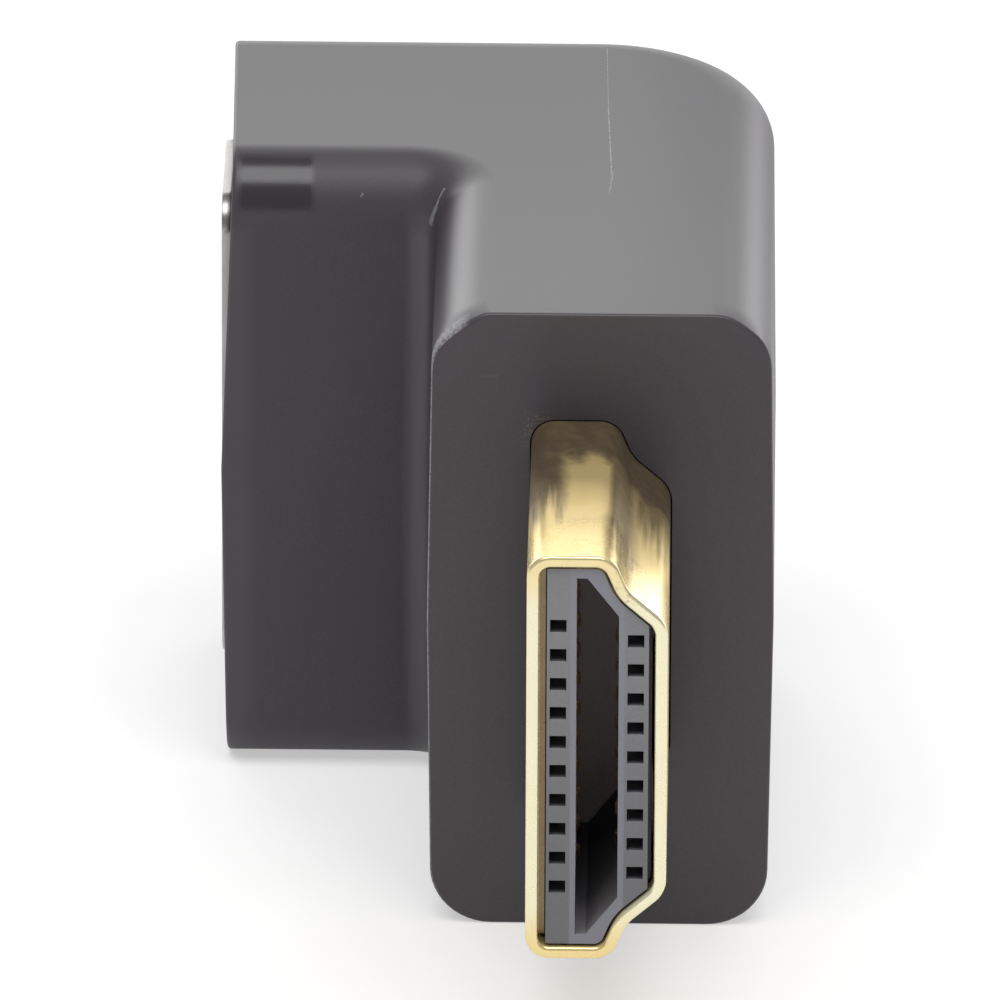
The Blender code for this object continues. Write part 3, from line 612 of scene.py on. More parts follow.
def press_corners():
    """Press the two upper corners of the front face flatter, fading out a little way behind it."""
    slice_at(Y, FRONT_Y + CORNER_FLAT_LENGTH)
    shape = bmesh.from_edit_mesh(bpy.context.edit_object.data)
    half_width = (RIGHT_X - LEFT_X) / 2
    half_height = (HOUSING_HIGH.z - HOUSING_LOW.z) / 2
    centre_x = half_width - half_height * math.tan(SIDE_DRAFT) - EDGE_RADIUS
    for side, depth in CORNER_FLAT_DEPTHS.items():
        outwards = Vector((side * math.sin(CORNER_FLAT_ANGLE), 0, math.cos(CORNER_FLAT_ANGLE)))
        centre = Vector((PLUG_X + side * centre_x, FRONT_Y, HOUSING_HIGH.z - EDGE_RADIUS))
        for vert in shape.verts:
            if abs(vert.co.y - FRONT_Y) < TOUCH:
                over = (vert.co - centre).dot(outwards) - EDGE_RADIUS + depth
                if over > 0:
                    vert.co -= outwards * over * CORNER_FLAT_SHARE
    bmesh.update_edit_mesh(bpy.context.edit_object.data)


def round_rim(piece, face_test, across):
    """Round the rim of an end face, more at its corners than along its straight sides."""
    edit(piece)
    pick("FACE", face_test)
    bpy.ops.mesh.region_to_loop()
    shape = bmesh.from_edit_mesh(piece.data)
    weights = shape.edges.layers.float.new("bevel_weight_edge")
    for edge in shape.edges:
        if edge.select:
            span = edge.verts[0].co - edge.verts[1].co
            slant = 2 * abs(span[across] * span.z) / (span[across] ** 2 + span.z ** 2)
            edge[weights] = (RIM_RADIUS + (CORNER_RIM - RIM_RADIUS) * slant) / CORNER_RIM
    bmesh.update_edit_mesh(piece.data)
    done()
    apply_modifier(piece, "BEVEL", width=CORNER_RIM, segments=RIM_STEPS, limit_method="WEIGHT")
    piece.data.attributes.remove(piece.data.attributes["bevel_weight_edge"])


def model_housing():
    """The L-shaped moulding, with its passages for the two connectors."""
    front_low = (LEFT_X, FRONT_Y, HOUSING_LOW.z)
    back_high = (RIGHT_X, BACK_Y, HOUSING_HIGH.z)
    piece = block("moulded_housing", front_low, back_high)
    edit(piece)
    slice_at(Y, ARM_FRONT_Y)
    pick("FACE", at(X, LEFT_X), between(Y, ARM_FRONT_Y, BACK_Y))
    extrude(x=ARM_END_X - LEFT_X)
    pick_all()
    bpy.ops.mesh.dissolve_limited(angle_limit=FLAT_ANGLE)
    slice_at(Z, MIDDLE_Z)

    half_height = (HOUSING_HIGH.z - HOUSING_LOW.z) / 2
    side_draft = half_height * math.tan(SIDE_DRAFT)
    end_draft = half_height * math.tan(END_DRAFT)
    drafts = (
        (X, RIGHT_X, {"x": -side_draft}),
        (X, LEFT_X, {"x": side_draft}),
        (X, ARM_END_X, {"x": end_draft}),
        (Y, BACK_Y, {"y": -side_draft}),
        (Y, ARM_FRONT_Y, {"y": side_draft}),
    )
    for height in (HOUSING_LOW.z, HOUSING_HIGH.z):
        for axis, wall, shift in drafts:
            pick("VERT", at(axis, wall), at(Z, height))
            move(**shift)
    pick("VERT", at(X, ARM_END_X, LEAN), at(Y, ARM_FRONT_Y, LEAN), at(Z, HOUSING_HIGH.z))
    move(x=END_TWIST)

    pick("EDGE", at(X, RIGHT_X, LEAN), at(Y, BACK_Y, LEAN))
    round_edges(OUTER_BEND, BEND_STEPS)
    pick("EDGE", at(X, LEFT_X, LEAN), at(Y, ARM_FRONT_Y, LEAN))
    round_edges(INNER_BEND, BEND_STEPS // 2)
    for height in (HOUSING_LOW.z, HOUSING_HIGH.z):
        pick("EDGE", at(Z, height), away(Y, FRONT_Y), away(X, ARM_END_X, LEAN))
        round_edges(EDGE_RADIUS, EDGE_STEPS)
    press_corners()
    done()
    round_rim(piece, at(Y, FRONT_Y), X)
    round_rim(piece, at(X, ARM_END_X, LEAN), Y)

    passage_front = FRONT_Y - SHELL_LOW.y - CUT_MARGIN
    passage = solid_section("passage", PASSAGE_GAP, passage_front, PLUG_LENGTH)
    combine(piece, place(passage, PLUG_PLACE))
    bay_low = (PLUG_X - BAY_HALF_WIDTH, SHELL_HIGH.y - SHELL_GAP, MIDDLE_Z - BAY_HEIGHT / 2)
    bay_high = (PLUG_X + BAY_HALF_WIDTH, BACK_Y - HOUSING_WALL, MIDDLE_Z + BAY_HEIGHT / 2)
    combine(piece, block("bay", bay_low, bay_high))
    outset = ENTRY_GAP + SOCKET_SHEET + SHELL_GAP
    room = Vector((0, PLUG_THICKNESS / 2 + outset, PLUG_WIDTH / 2 + outset))
    room_front = Vector((SOCKET_LOW.x - CUT_MARGIN, SOCKET_Y, MIDDLE_Z))
    room_rear = Vector((PLUG_X - BAY_HALF_WIDTH + SHELL_GAP, SOCKET_Y, MIDDLE_Z))
    combine(piece, block("socket_room", room_front - room, room_rear + room))
    combine(piece, flange_plate("flange_recess", SHELL_GAP, -CUT_MARGIN, FLANGE_SHEET + SEAT_GAP))
    shade(piece)
    return piece


def model_plug_shell():
    """The folded shell: a sleeve of sheet with a rounded rim, an inner fold and four windows."""
    piece = sleeve("plated_plug_shell", 0.0, 0.0, PLUG_LENGTH)
    apply_modifier(piece, "SOLIDIFY", thickness=PLUG_SHEET, offset=-1.0, use_even_offset=True)
    edit(piece)
    for end in (0.0, PLUG_LENGTH):
        pick("FACE", at(Y, end))
        bpy.ops.mesh.region_to_loop()
        round_edges(PLUG_RIM_EDGE, RIM_STEPS)
    done()
    half_width = PLUG_WIDTH / 2 - FOLD_MARGIN
    fold_low = (WIDE_INSIDE - PLUG_SHEET / 2, INSULATOR_SETBACK + STEP_DEPTH, -half_width)
    fold_high = (WIDE_INSIDE + FOLD_SHEET, PLUG_LENGTH - SHELL_GAP, half_width)
    combine(piece, block("inner_fold", fold_low, fold_high), "UNION")
    depth, width = WINDOW_SIZE
    for across in (-WINDOW_SPACING / 2, WINDOW_SPACING / 2):
        low = (-PLUG_THICKNESS, WINDOW_SETBACK, across - width / 2)
        high = (PLUG_THICKNESS, WINDOW_SETBACK + depth, across + width / 2)
        combine(piece, block("window", low, high))
    place(piece, PLUG_PLACE)
    shade(piece)
    return piece


def contact_slots(count, outer, tongue_face, rear):
    """Slots for a row of contacts, open on the tongue's slot from behind a front lip."""
    inwards = math.copysign(1.0, tongue_face - outer)
    inner = outer + inwards * CONTACT_SLOT_HEIGHT
    across = first_place(count)
    slot = block(
        "slot",
        (min(outer, inner), INSULATOR_SETBACK - CUT_MARGIN, across - CONTACT_SLOT_WIDTH / 2),
        (max(outer, inner), rear, across + CONTACT_SLOT_WIDTH / 2),
    )
    lip = INSULATOR_SETBACK + CONTACT_SLOT_LIP
    slot_end = INSULATOR_SETBACK + SLOT_DEPTH
    edit(slot)
    slice_at(Y, lip)
    slice_at(Y, slot_end)
    pick("FACE", at(X, inner), between(Y, lip, slot_end))
    extrude(x=tongue_face + inwards * CONTACT_SHEET - inner)
    done()
    repeat_along_z(slot, count)
    return slot


def model_plug_block():
    """The moulded block inside the plug, with the tongue's slot and nineteen contact slots."""
    rear = BLOCK_HIGH.y - SHELL_LOW.y
    piece = solid_section("plug_contact_block", -PLUG_SHEET - SEAT_GAP, INSULATOR_SETBACK, rear)
    wide_side = WIDE_INSIDE + WIDE_SIDE_GAP
    narrow_side = NARROW_INSIDE - NARROW_SIDE_GAP
    wide_low = (WIDE_FACE, -CUT_MARGIN, -PLUG_WIDTH)
    combine(piece, block("wide_relief", wide_low, (wide_side, rear + CUT_MARGIN, PLUG_WIDTH)))
    narrow_high = (-WIDE_FACE, INSULATOR_SETBACK + STEP_DEPTH, PLUG_WIDTH)
    combine(piece, block("narrow_step", (narrow_side, -CUT_MARGIN, -PLUG_WIDTH), narrow_high))

    near = WIDE_FACE + SLOT_HEIGHT
    far = near + SLOT_THICKNESS
    slot = block(
        "tongue_slot",
        (near, -CUT_MARGIN, -SLOT_WIDTH / 2),
        (far - SLOT_CHAMFER, INSULATOR_SETBACK + SLOT_DEPTH, SLOT_WIDTH / 2),
    )
    edit(slot)
    pick("FACE", at(X, far - SLOT_CHAMFER))
    extrude(x=SLOT_CHAMFER)
    bpy.ops.transform.resize(value=(1, 1, SLOT_NARROW / SLOT_WIDTH))
    done()
    combine(piece, slot)
    slot_rear = rear + CUT_MARGIN
    combine(piece, contact_slots(WIDE_COUNT, wide_side + WIDE_SLOT_EDGE, near, slot_rear))
    combine(piece, contact_slots(NARROW_COUNT, narrow_side - NARROW_SLOT_EDGE, far, slot_rear))
    place(piece, PLUG_PLACE)
    soften(piece)
    shade(piece)
    return piece


def spring_finger(wall, inwards, across):
    """A finger that dips into the socket from one wide wall, in the socket's own frame."""
    start = FINGER_SETBACK
    finger = block(
        "finger",
        (wall - FINGER_SHEET / 2, start - SOCKET_SHEET, across - FINGER_WIDTH / 2),
        (wall + FINGER_SHEET / 2, start + FINGER_LENGTH, across + FINGER_WIDTH / 2),
    )
    edit(finger)
    slice_at(Y, start + FINGER_SLIT)
    slice_at(Y, start + FINGER_CREST)
    pick("VERT", at(Y, start + FINGER_CREST))
    move(x=inwards * FINGER_DIP)
    pick("VERT", at(Y, start + FINGER_LENGTH))
    move(x=inwards * FINGER_TIP_DIP)
    done()
    return finger


def model_socket_shell():
    """The socket's folded shell: flange, sleeve and four spring fingers."""
    piece = flange_plate("plated_socket_shell", 0.0, 0.0, FLANGE_SHEET)
    outset = ENTRY_GAP + SOCKET_SHEET
    body = solid_section("socket_sleeve", outset, FLANGE_SHEET / 2, SOCKET_DEPTH)
    combine(piece, place(body, SOCKET_PLACE), "UNION")
    mouth = solid_section("mouth", ENTRY_GAP, -CUT_MARGIN, SOCKET_DEPTH + CUT_MARGIN)
    combine(piece, place(mouth, SOCKET_PLACE))
    for inwards in (1, -1):
        wall = -inwards * (PLUG_THICKNESS / 2 + ENTRY_GAP + SOCKET_SHEET / 2)
        for across in (-FINGER_SPACING / 2, FINGER_SPACING / 2):
            half = FINGER_WIDTH / 2 + FINGER_SLIT
            window_end = FINGER_SETBACK + FINGER_LENGTH + FINGER_SLIT
            low = (wall - SOCKET_SHEET, FINGER_SETBACK, across - half)
            high = (wall + SOCKET_SHEET, window_end, across + half)
            combine(piece, place(block("finger_window", low, high), SOCKET_PLACE))
            combine(piece, place(spring_finger(wall, inwards, across), SOCKET_PLACE), "UNION")
    soften(piece)
    shade(piece)
    return piece


def model_socket_block():
    """The base that closes the socket's rear and the tongue with its contact grooves."""
    rear = BASE_HIGH.x - SOCKET_LOW.x
    base_front = rear - BASE_THICKNESS
    piece = solid_section("socket_contact_block", ENTRY_GAP - SEAT_GAP, base_front, rear)
    half = TONGUE_THICKNESS / 2
    tongue = block(
        "tongue",
        (-half, TONGUE_SETBACK, -TONGUE_WIDTH / 2),
        (half, rear - BASE_THICKNESS / 2, TONGUE_WIDTH / 2),
    )
    edit(tongue)
    pick("EDGE", at(Y, TONGUE_SETBACK), along(Z))
    round_edges(TONGUE_CHAMFER, 1)
    done()
    combine(piece, tongue, "UNION")
    for count, side in ((WIDE_COUNT, -1), (NARROW_COUNT, 1)):
        across = first_place(count)
        floor = side * (half - CONTACT_SHEET - SEAT_GAP)
        roof = side * (half + SEAT_GAP)
        start = TONGUE_SETBACK + CONTACT_SETBACK - SEAT_GAP
        half_width = CONTACT_SLOT_WIDTH / 2
        groove = block(
            "groove",
            (min(floor, roof), start, across - half_width),
            (max(floor, roof), rear + CUT_MARGIN, across + half_width),
        )
        repeat_along_z(groove, count)
        combine(piece, groove)
    place(piece, SOCKET_PLACE)
    shade(piece)
    return piece


def add_node(tree, kind, inputs=(), **settings):
    """Add a shader node, whose inputs each take a value or another node's output."""
    node = tree.nodes.new("ShaderNode" + kind)
    for name, value in settings.items():
        setattr(node, name, value)
    for name, value in dict(inputs).items():
        if isinstance(value, bpy.types.NodeSocket):
            tree.links.new(value, node.inputs[name])
        else:
            node.inputs[name].default_value = value
    return node


def start_finish(name, metallic=0.0):
    """Start a finish: its material, its node tree, its shader and the place on the object."""
    material = bpy.data.materials.new(name)
    material.use_nodes = True
    tree = material.node_tree
    shader = tree.nodes["Principled BSDF"]
    shader.inputs["Metallic"].default_value = metallic
    spot = add_node(tree, "TexCoord").outputs["Object"]
    return material, tree, shader, spot


def complete(tree, shader, colour, roughness, bump=None):
    """Join a finish's colour, roughness and bump to its shader."""
    tree.links.new(colour, shader.inputs["Base Color"])
    tree.links.new(roughness, shader.inputs["Roughness"])
    if bump:
        tree.links.new(bump, shader.inputs["Normal"])


def grain(tree, spot, scale, detail, stretch=(1, 1, 1)):
    """A cloudy pattern from 0 to 1, with so many clouds to a metre along each axis."""
    scales = [scale * share for share in stretch]
    scaled = add_node(tree, "Mapping", {"Vector": spot, "Scale": scales}).outputs[0]
    noise = {"Vector": scaled, "Scale": 1.0, "Detail": detail}
    return add_node(tree, "TexNoise", noise).outputs[0]


def calculate(tree, operation, first, second=0.0):
    """Do one sum."""
    return add_node(tree, "Math", {0: first, 1: second}, operation=operation).outputs[0]


def product(tree, first, *others):
    """Multiply several patterns."""
    for other in others:
        first = calculate(tree, "MULTIPLY", first, other)
    return first


def strongest(tree, first, *others):
    """Join several patterns, with the strongest one at each place."""
    for other in others:
        first = calculate(tree, "MAXIMUM", first, other)
    return first


def measured(place, stretch):
    """A stretch whose two ends are given from a place."""
    return place + stretch[0], place + stretch[1]


def fade(tree, value, stretch, levels=(0.0, 1.0)):
    """Go smoothly from one level to another over a stretch of a value."""
    inputs = {
        "Value": value,
        "From Min": stretch[0],
        "From Max": stretch[1],
        "To Min": levels[0],
        "To Max": levels[1],
    }
    return add_node(tree, "MapRange", inputs, interpolation_type="SMOOTHSTEP").outputs[0]


def fade_out(tree, value, stretch):
    """Go smoothly from 1 to 0 over a stretch of a value."""
    return fade(tree, value, stretch, (1.0, 0.0))


def patch(tree, value, place, stretches):
    """Go from 0 to 1 over a first stretch from a place, and back to 0 over a second one."""
    rise, fall = stretches
    return product(
        tree,
        fade(tree, value, measured(place, rise)),
        fade_out(tree, value, measured(place, fall)),
    )


def shift(tree, value, pattern, swing):
    """Push a value to and fro by a pattern."""
    offset = calculate(tree, "SUBTRACT", pattern, 0.5)
    return calculate(tree, "ADD", value, calculate(tree, "MULTIPLY", offset, swing))


def ragged_end(tree, value, place, pattern, edge):
    """Go from 1 to 0 over a stretch from a place, pushed to and fro by a pattern."""
    swing, stretch = edge
    return fade_out(tree, shift(tree, value, pattern, swing), measured(place, stretch))


def off_place(tree, value, place):
    """How far a value lies from a place, on either side."""
    return calculate(tree, "ABSOLUTE", calculate(tree, "SUBTRACT", value, place))


def blend(tree, factor, first, second):
    """Mix two colours."""
    node = add_node(tree, "Mix", {MIX_FACTOR: factor}, data_type="RGBA")
    for index, colour in ((MIX_FIRST, first), (MIX_SECOND, second)):
        if isinstance(colour, bpy.types.NodeSocket):
            tree.links.new(colour, node.inputs[index])
        else:
            node.inputs[index].default_value = (*colour, 1)
    return node.outputs[MIX_RESULT]


def axes(tree, spot):
    """The three coordinates of a place."""
    return add_node(tree, "SeparateXYZ", {0: spot}).outputs


def raised(tree, height, depth, under=None):
    """A bump whose highest and lowest points are so far apart."""
    inputs = {"Height": height, "Distance": depth, "Strength": 1.0}
    if under:
        inputs["Normal"] = under
    return add_node(tree, "Bump", inputs).outputs[0]


def line_mark(tree, spot, start, end, width):
    """A thin straight mark between two places: 1 on it and 0 off it."""
    start = Vector(start)
    length = Vector(end) - start
    arm = add_node(tree, "VectorMath", {0: spot, 1: start}, operation="SUBTRACT").outputs[0]
    scaled = length / length.length_squared
    dot = add_node(tree, "VectorMath", {0: arm, 1: scaled}, operation="DOT_PRODUCT")
    share = add_node(tree, "Clamp", {"Value": dot.outputs["Value"]}).outputs[0]
    near = add_node(tree, "VectorMath", {0: length, "Scale": share}, operation="SCALE").outputs[0]
    gap = add_node(tree, "VectorMath", {0: arm, 1: near}, operation="DISTANCE").outputs["Value"]
    return fade(tree, gap, (width / 2, width / 4))


def line_marks(tree, spot, marks):
    """Several thin straight marks, each with its start, end and width."""
    return strongest(tree, *[line_mark(tree, spot, *mark) for mark in marks])


def charcoal_moulding():
    """Dark satin plastic with a painted sheen on its top, painted light at the arm's end, a
    painted highlight in the inner bend, a polished patch by the socket darkened by painted shade,
    and wear with a painted highlight on the front rim.
    """
    material, tree, shader, spot = start_finish("charcoal_moulding")
    x, y, z = axes(tree, spot)
    clouds = grain(tree, spot, *CHARCOAL_CLOUDS)
    pores = grain(tree, spot, *CHARCOAL_PORES)
    crumbs = grain(tree, spot, *CHARCOAL_CRUMBS)
    top = HOUSING_HIGH.z
    arm_front = fade_out(tree, y, (ARM_FRONT_Y + EDGE_RADIUS, SOCKET_Y))

    colour = blend(tree, clouds, *CHARCOAL_TONES)
    colour = blend(tree, fade(tree, pores, PORE_RANGE, PORE_LEVELS), colour, PORE_TONE)
    # Painted sheen: a lighter, more neutral tone on the top face
    top_sheen = fade(tree, z, measured(top, TOP_SHEEN), TOP_SHEEN_LEVELS)
    colour = blend(tree, top_sheen, colour, TOP_SHEEN_TONE)
    # Painted light towards the arm's end and a painted highlight on the inner bend's fillet, below
    # the top rounding
    end_painted_light = ragged_end(tree, x, ARM_END_X, clouds, END_PAINTED_LIGHT)
    bend_painted_highlight = product(tree, patch(tree, x, LEFT_X, BEND_PAINTED_HIGHLIGHT), arm_front)
    painted_light = strongest(tree, end_painted_light, bend_painted_highlight)
    painted_light = product(tree, painted_light, fade(tree, z, measured(top, PAINTED_LIGHT_HEIGHT)), PAINTED_LIGHT_SHARE)
    colour = blend(tree, painted_light, colour, PAINTED_LIGHT_TONE)
    polish_and_shade = product(
        tree,
        patch(tree, x, 0.0, POLISH_LENGTH),
        patch(tree, z, top, POLISH_HEIGHT),
        arm_front,
    )
    # Painted shade: the polished patch's colour is darkened
    colour = blend(tree, product(tree, polish_and_shade, POLISH_SHADE_SHARE), colour, POLISH_SHADE_TONE)

    satin = fade(tree, y, (FRONT_Y, BACK_Y), SATIN_LEVELS)
    right_satin = fade(tree, x, (PLUG_X, RIGHT_X - EDGE_RADIUS), RIGHT_SATIN_LEVELS)
    arm_edge = product(
        tree,
        fade(tree, x, measured(LEFT_X, ARM_EDGE_LENGTH)),
        fade(tree, z, measured(top, ARM_EDGE_HEIGHT)),
        ARM_EDGE_SATIN,
    )
    satin = calculate(tree, "ADD", satin, right_satin)
    satin = calculate(tree, "ADD", satin, arm_edge)
    satin = shift(tree, satin, clouds, SATIN_SWING)
    roughness = calculate(tree, "SUBTRACT", satin, product(tree, polish_and_shade, POLISH_SHINE))

    # Wear at the front's top-left corner and left rim, with a painted highlight on the rim
    corner_wear_and_highlight = product(
        tree,
        ragged_end(tree, y, FRONT_Y, crumbs, CORNER_WEAR_AND_HIGHLIGHT_DEPTH),
        ragged_end(tree, x, LEFT_X, clouds, CORNER_WEAR_AND_HIGHLIGHT_WIDTH),
        fade(tree, z, measured(top, CORNER_WEAR_AND_HIGHLIGHT_HEIGHT)),
    )
    side_wear_and_highlight = product(
        tree,
        fade_out(tree, y, measured(FRONT_Y, SIDE_WEAR_AND_HIGHLIGHT_DEPTH)),
        fade(tree, x, measured(LEFT_X, SIDE_WEAR_AND_HIGHLIGHT_WIDTH), SIDE_WEAR_AND_HIGHLIGHT_LEVELS),
    )
    edge_wear_and_highlight = product(
        tree,
        strongest(tree, corner_wear_and_highlight, side_wear_and_highlight),
        fade(tree, y, measured(FRONT_Y, RIM_SETBACK)),
        fade(tree, crumbs, WEAR_AND_HIGHLIGHT_RANGE, WEAR_AND_HIGHLIGHT_LEVELS),
    )
    scratch_strength = fade(tree, crumbs, SCRATCH_RANGE, SCRATCH_LEVELS)
    scratches = product(tree, line_marks(tree, spot, SCRATCHES), scratch_strength)
    rubs = product(tree, line_marks(tree, spot, RUBS), crumbs)
    worn_and_highlight = strongest(tree, edge_wear_and_highlight, scratches, rubs)

    smears = product(tree, line_marks(tree, spot, SMEARS), crumbs, SMEAR_SHARE)
    root_dirt = product(
        tree,
        patch(tree, x, SHELL_LOW.x, ROOT_DIRT_WIDTH),
        patch(tree, z, SHELL_HIGH.z, ROOT_DIRT_HEIGHT),
        fade_out(tree, y, measured(FRONT_Y, ROOT_DIRT_DEPTH)),
        fade(tree, crumbs, ROOT_DIRT_RANGE),
        ROOT_DIRT_SHARE,
    )
    colour = blend(tree, strongest(tree, smears, root_dirt), colour, DIRT_TONE)
    # Wear, scratches, rubs and the painted rim highlight take one pale tone
    colour = blend(tree, product(tree, worn_and_highlight, WORN_AND_HIGHLIGHT_SHARE), colour, WORN_AND_HIGHLIGHT_TONE)
    roughness = calculate(tree, "ADD", roughness, product(tree, worn_and_highlight, WORN_ROUGHNESS))
    bump = raised(tree, pores, PORE_DEPTH)
    bump = raised(tree, product(tree, worn_and_highlight, crumbs), WORN_DEPTH, bump)
    complete(tree, shader, colour, roughness, bump)
    return material


def gold_plating():
    """Soft gold plating with a painted highlight at its lip, stained brown from its root, and
    darkened by painted shade on its fold and inside its narrow wall.
    """
    material, tree, shader, spot = start_finish("gold_plating", GOLD_METALLIC)
    x, y, z = axes(tree, spot)
    length_out = calculate(tree, "SUBTRACT", FRONT_Y, y)
    off_middle = off_place(tree, z, MIDDLE_Z)
    mottle = grain(tree, spot, *GOLD_MOTTLE)
    lines = grain(tree, spot, *GOLD_LINES)
    lip = fade_out(tree, y, measured(SHELL_LOW.y, LIP_DEPTH))
    # Painted highlight on the lip, less at the top and none at the bottom
    lip_highlight = product(
        tree,
        lip,
        fade(tree, z, measured(SHELL_HIGH.z, LIP_UPPER), LIP_UPPER_LEVELS),
        fade(tree, z, measured(SHELL_LOW.z, LIP_LOWER)),
    )
    plate = blend(tree, lip_highlight, blend(tree, mottle, *GOLD_TONES), LIP_HIGHLIGHT_TONE)

    slant_height = fade(tree, z, measured(SHELL_HIGH.z, SLANT_HEIGHT))
    narrow_stain = product(
        tree,
        fade(tree, x, measured(PLUG_X, NARROW_SIDE)),
        slant_height,
        ragged_end(tree, length_out, 0.0, lines, NARROW_STAIN),
        NARROW_SIDE_SHARE,
    )
    valley_stain = product(
        tree,
        patch(tree, x, PLUG_X, VALLEY),
        slant_height,
        ragged_end(tree, length_out, 0.0, lines, VALLEY_STAIN),
        VALLEY_SHARE,
    )
    corner_stain = product(
        tree,
        ragged_end(tree, x, SHELL_LOW.x, mottle, CORNER_STAIN_WIDTH),
        fade(tree, z, measured(SHELL_HIGH.z, CORNER_STAIN_HEIGHT)),
        ragged_end(tree, length_out, 0.0, lines, CORNER_STAIN),
    )
    root_stain = ragged_end(tree, length_out, 0.0, mottle, ROOT_STAIN)
    haze = fade(tree, length_out, HAZE, HAZE_LEVELS)
    stain_and_shade = strongest(tree, root_stain, narrow_stain, valley_stain, corner_stain, haze)
    specks = fade(tree, grain(tree, spot, *GOLD_SPECKS), SPECK_RANGE, SPECK_LEVELS)
    stain_and_shade = product(tree, stain_and_shade, specks)
    # Painted shade: the recessed fold and the inside of the narrow wall darkened brown
    fold_shade = product(
        tree,
        patch(tree, x, SHELL_LOW.x, FOLD_SHADE_WIDTH),
        fade(tree, y, measured(SHELL_LOW.y, FOLD_SHADE_DEPTH)),
        fade_out(tree, off_middle, measured(PLUG_WIDTH / 2, FOLD_SHADE_END)),
        FOLD_SHADE_SHARE,
    )
    hollow_shade = product(
        tree,
        patch(tree, x, PLUG_X, HOLLOW_WIDTH),
        fade_out(tree, off_middle, measured(NARROW_WIDTH / 2, HOLLOW_END)),
        fade(tree, y, measured(SHELL_LOW.y, HOLLOW_DEPTH)),
        HOLLOW_SHADE_SHARE,
    )
    stain_and_shade = strongest(tree, stain_and_shade, fold_shade, hollow_shade)
    dull = ragged_end(tree, length_out, 0.0, grain(tree, spot, *GOLD_WEAR), DULL_ROOT)
    colour = blend(tree, product(tree, dull, mottle, DULL_SHARE), plate, DULL_TONE)
    # Real stains and the painted shade take one brown tone
    colour = blend(tree, product(tree, stain_and_shade, STAIN_AND_SHADE_SHARE), colour, STAIN_AND_SHADE_TONE)

    roughness = fade(tree, mottle, PATTERN_RANGE, GOLD_ROUGHNESS)
    roughness = calculate(tree, "ADD", roughness, product(tree, dull, DULL_ROUGHNESS))
    off_lip = calculate(tree, "SUBTRACT", 1.0, lip)
    waves = product(tree, grain(tree, spot, *GOLD_WAVES), off_lip)
    complete(tree, shader, colour, roughness, raised(tree, waves, GOLD_WAVE_DEPTH))
    return material


def grey_moulding():
    """Mid grey plastic with a fine speckle, painted shade towards its foot and behind its front
    face, painted light in the tongue's slot and a painted highlight beside it.
    """
    material, tree, shader, spot = start_finish("grey_moulding")
    x, y, z = axes(tree, spot)
    speckle = grain(tree, spot, *GREY_SPECKLE)
    clouds = grain(tree, spot, *GREY_CLOUDS)
    colour = blend(tree, clouds, *GREY_TONES)
    colour = blend(tree, fade(tree, speckle, SPECKLE_RANGE, SPECKLE_LEVELS), colour, SPECKLE_TONE)
    # Painted shade: darker towards the block's bottom
    foot_shade = fade(tree, z, (BLOCK_HIGH.z, BLOCK_LOW.z), FOOT_SHADE_LEVELS)
    colour = blend(tree, foot_shade, colour, FOOT_SHADE_TONE)
    # Painted shade: everything behind the block's front face is darkened
    inside = product(
        tree,
        fade(tree, y, measured(BLOCK_LOW.y, INSIDE_FRONT)),
        fade_out(tree, y, measured(BLOCK_HIGH.y, INSIDE_REAR)),
    )
    colour = blend(tree, inside, colour, INSIDE_SHADE_TONE)

    off_slot = off_place(tree, x, PLUG_X + WIDE_FACE + SLOT_HEIGHT + SLOT_THICKNESS / 2)
    # Painted highlight beside the tongue's slot on the front face
    slot_edge_highlight = product(
        tree,
        fade(tree, off_slot, measured(SLOT_THICKNESS / 2, SLOT_EDGE_HIGHLIGHT), SLOT_EDGE_HIGHLIGHT_LEVELS),
        calculate(tree, "SUBTRACT", 1.0, inside),
        fade_out(tree, y, measured(BLOCK_LOW.y, SLOT_EDGE_HIGHLIGHT_DEPTH)),
    )
    colour = blend(tree, slot_edge_highlight, colour, SLOT_EDGE_HIGHLIGHT_TONE)
    # Painted light inside the tongue's slot, which lies in shade
    slot = product(
        tree,
        fade_out(tree, off_slot, measured(SLOT_THICKNESS / 2, SLOT_WALL)),
        inside,
        strongest(
            tree,
            fade(tree, z, measured(MIDDLE_Z, SLOT_FLOOR)),
            fade(tree, y, measured(BLOCK_LOW.y + SLOT_DEPTH, SLOT_REAR)),
            fade(tree, y, measured(BLOCK_LOW.y, SLOT_FLOOR_DEPTH), SLOT_FLOOR_LEVELS),
        ),
    )
    colour = blend(tree, slot, colour, blend(tree, speckle, *SLOT_LIGHT_TONES))
    roughness = fade(tree, speckle, PATTERN_RANGE, GREY_ROUGHNESS)
    complete(tree, shader, colour, roughness, raised(tree, speckle, SPECKLE_DEPTH))
    return material


def plated_sheet(name, tones, levels):
    """Plated sheet metal with a faint rolled grain."""
    material, tree, shader, spot = start_finish(name, 1.0)
    rolled = grain(tree, spot, *SHEET_ROLLED)
    colour = blend(tree, grain(tree, spot, *SHEET_CLOUDS), *tones)
    roughness = fade(tree, rolled, PATTERN_RANGE, levels)
    complete(tree, shader, colour, roughness, raised(tree, rolled, ROLLED_DEPTH))
    return material


def board_lacquer():
    """Green lacquer over a woven glass board."""
    material, tree, shader, spot = start_finish("board_lacquer")
    weave = strongest(tree, grain(tree, spot, *WEAVE_ACROSS), grain(tree, spot, *WEAVE_UPWARDS))
    colour = blend(tree, fade(tree, weave, WEAVE_RANGE), *LACQUER_TONES)
    roughness = fade(tree, weave, WEAVE_RANGE, LACQUER_ROUGHNESS)
    complete(tree, shader, colour, roughness, raised(tree, weave, WEAVE_DEPTH))
    return material


def dress(piece, material, node):
    """Let a piece stand for its node, ride on the body and take its finish."""
    piece.data.materials.clear()
    piece.data.materials.append(material)
    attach(piece, "root")
    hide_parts(node)


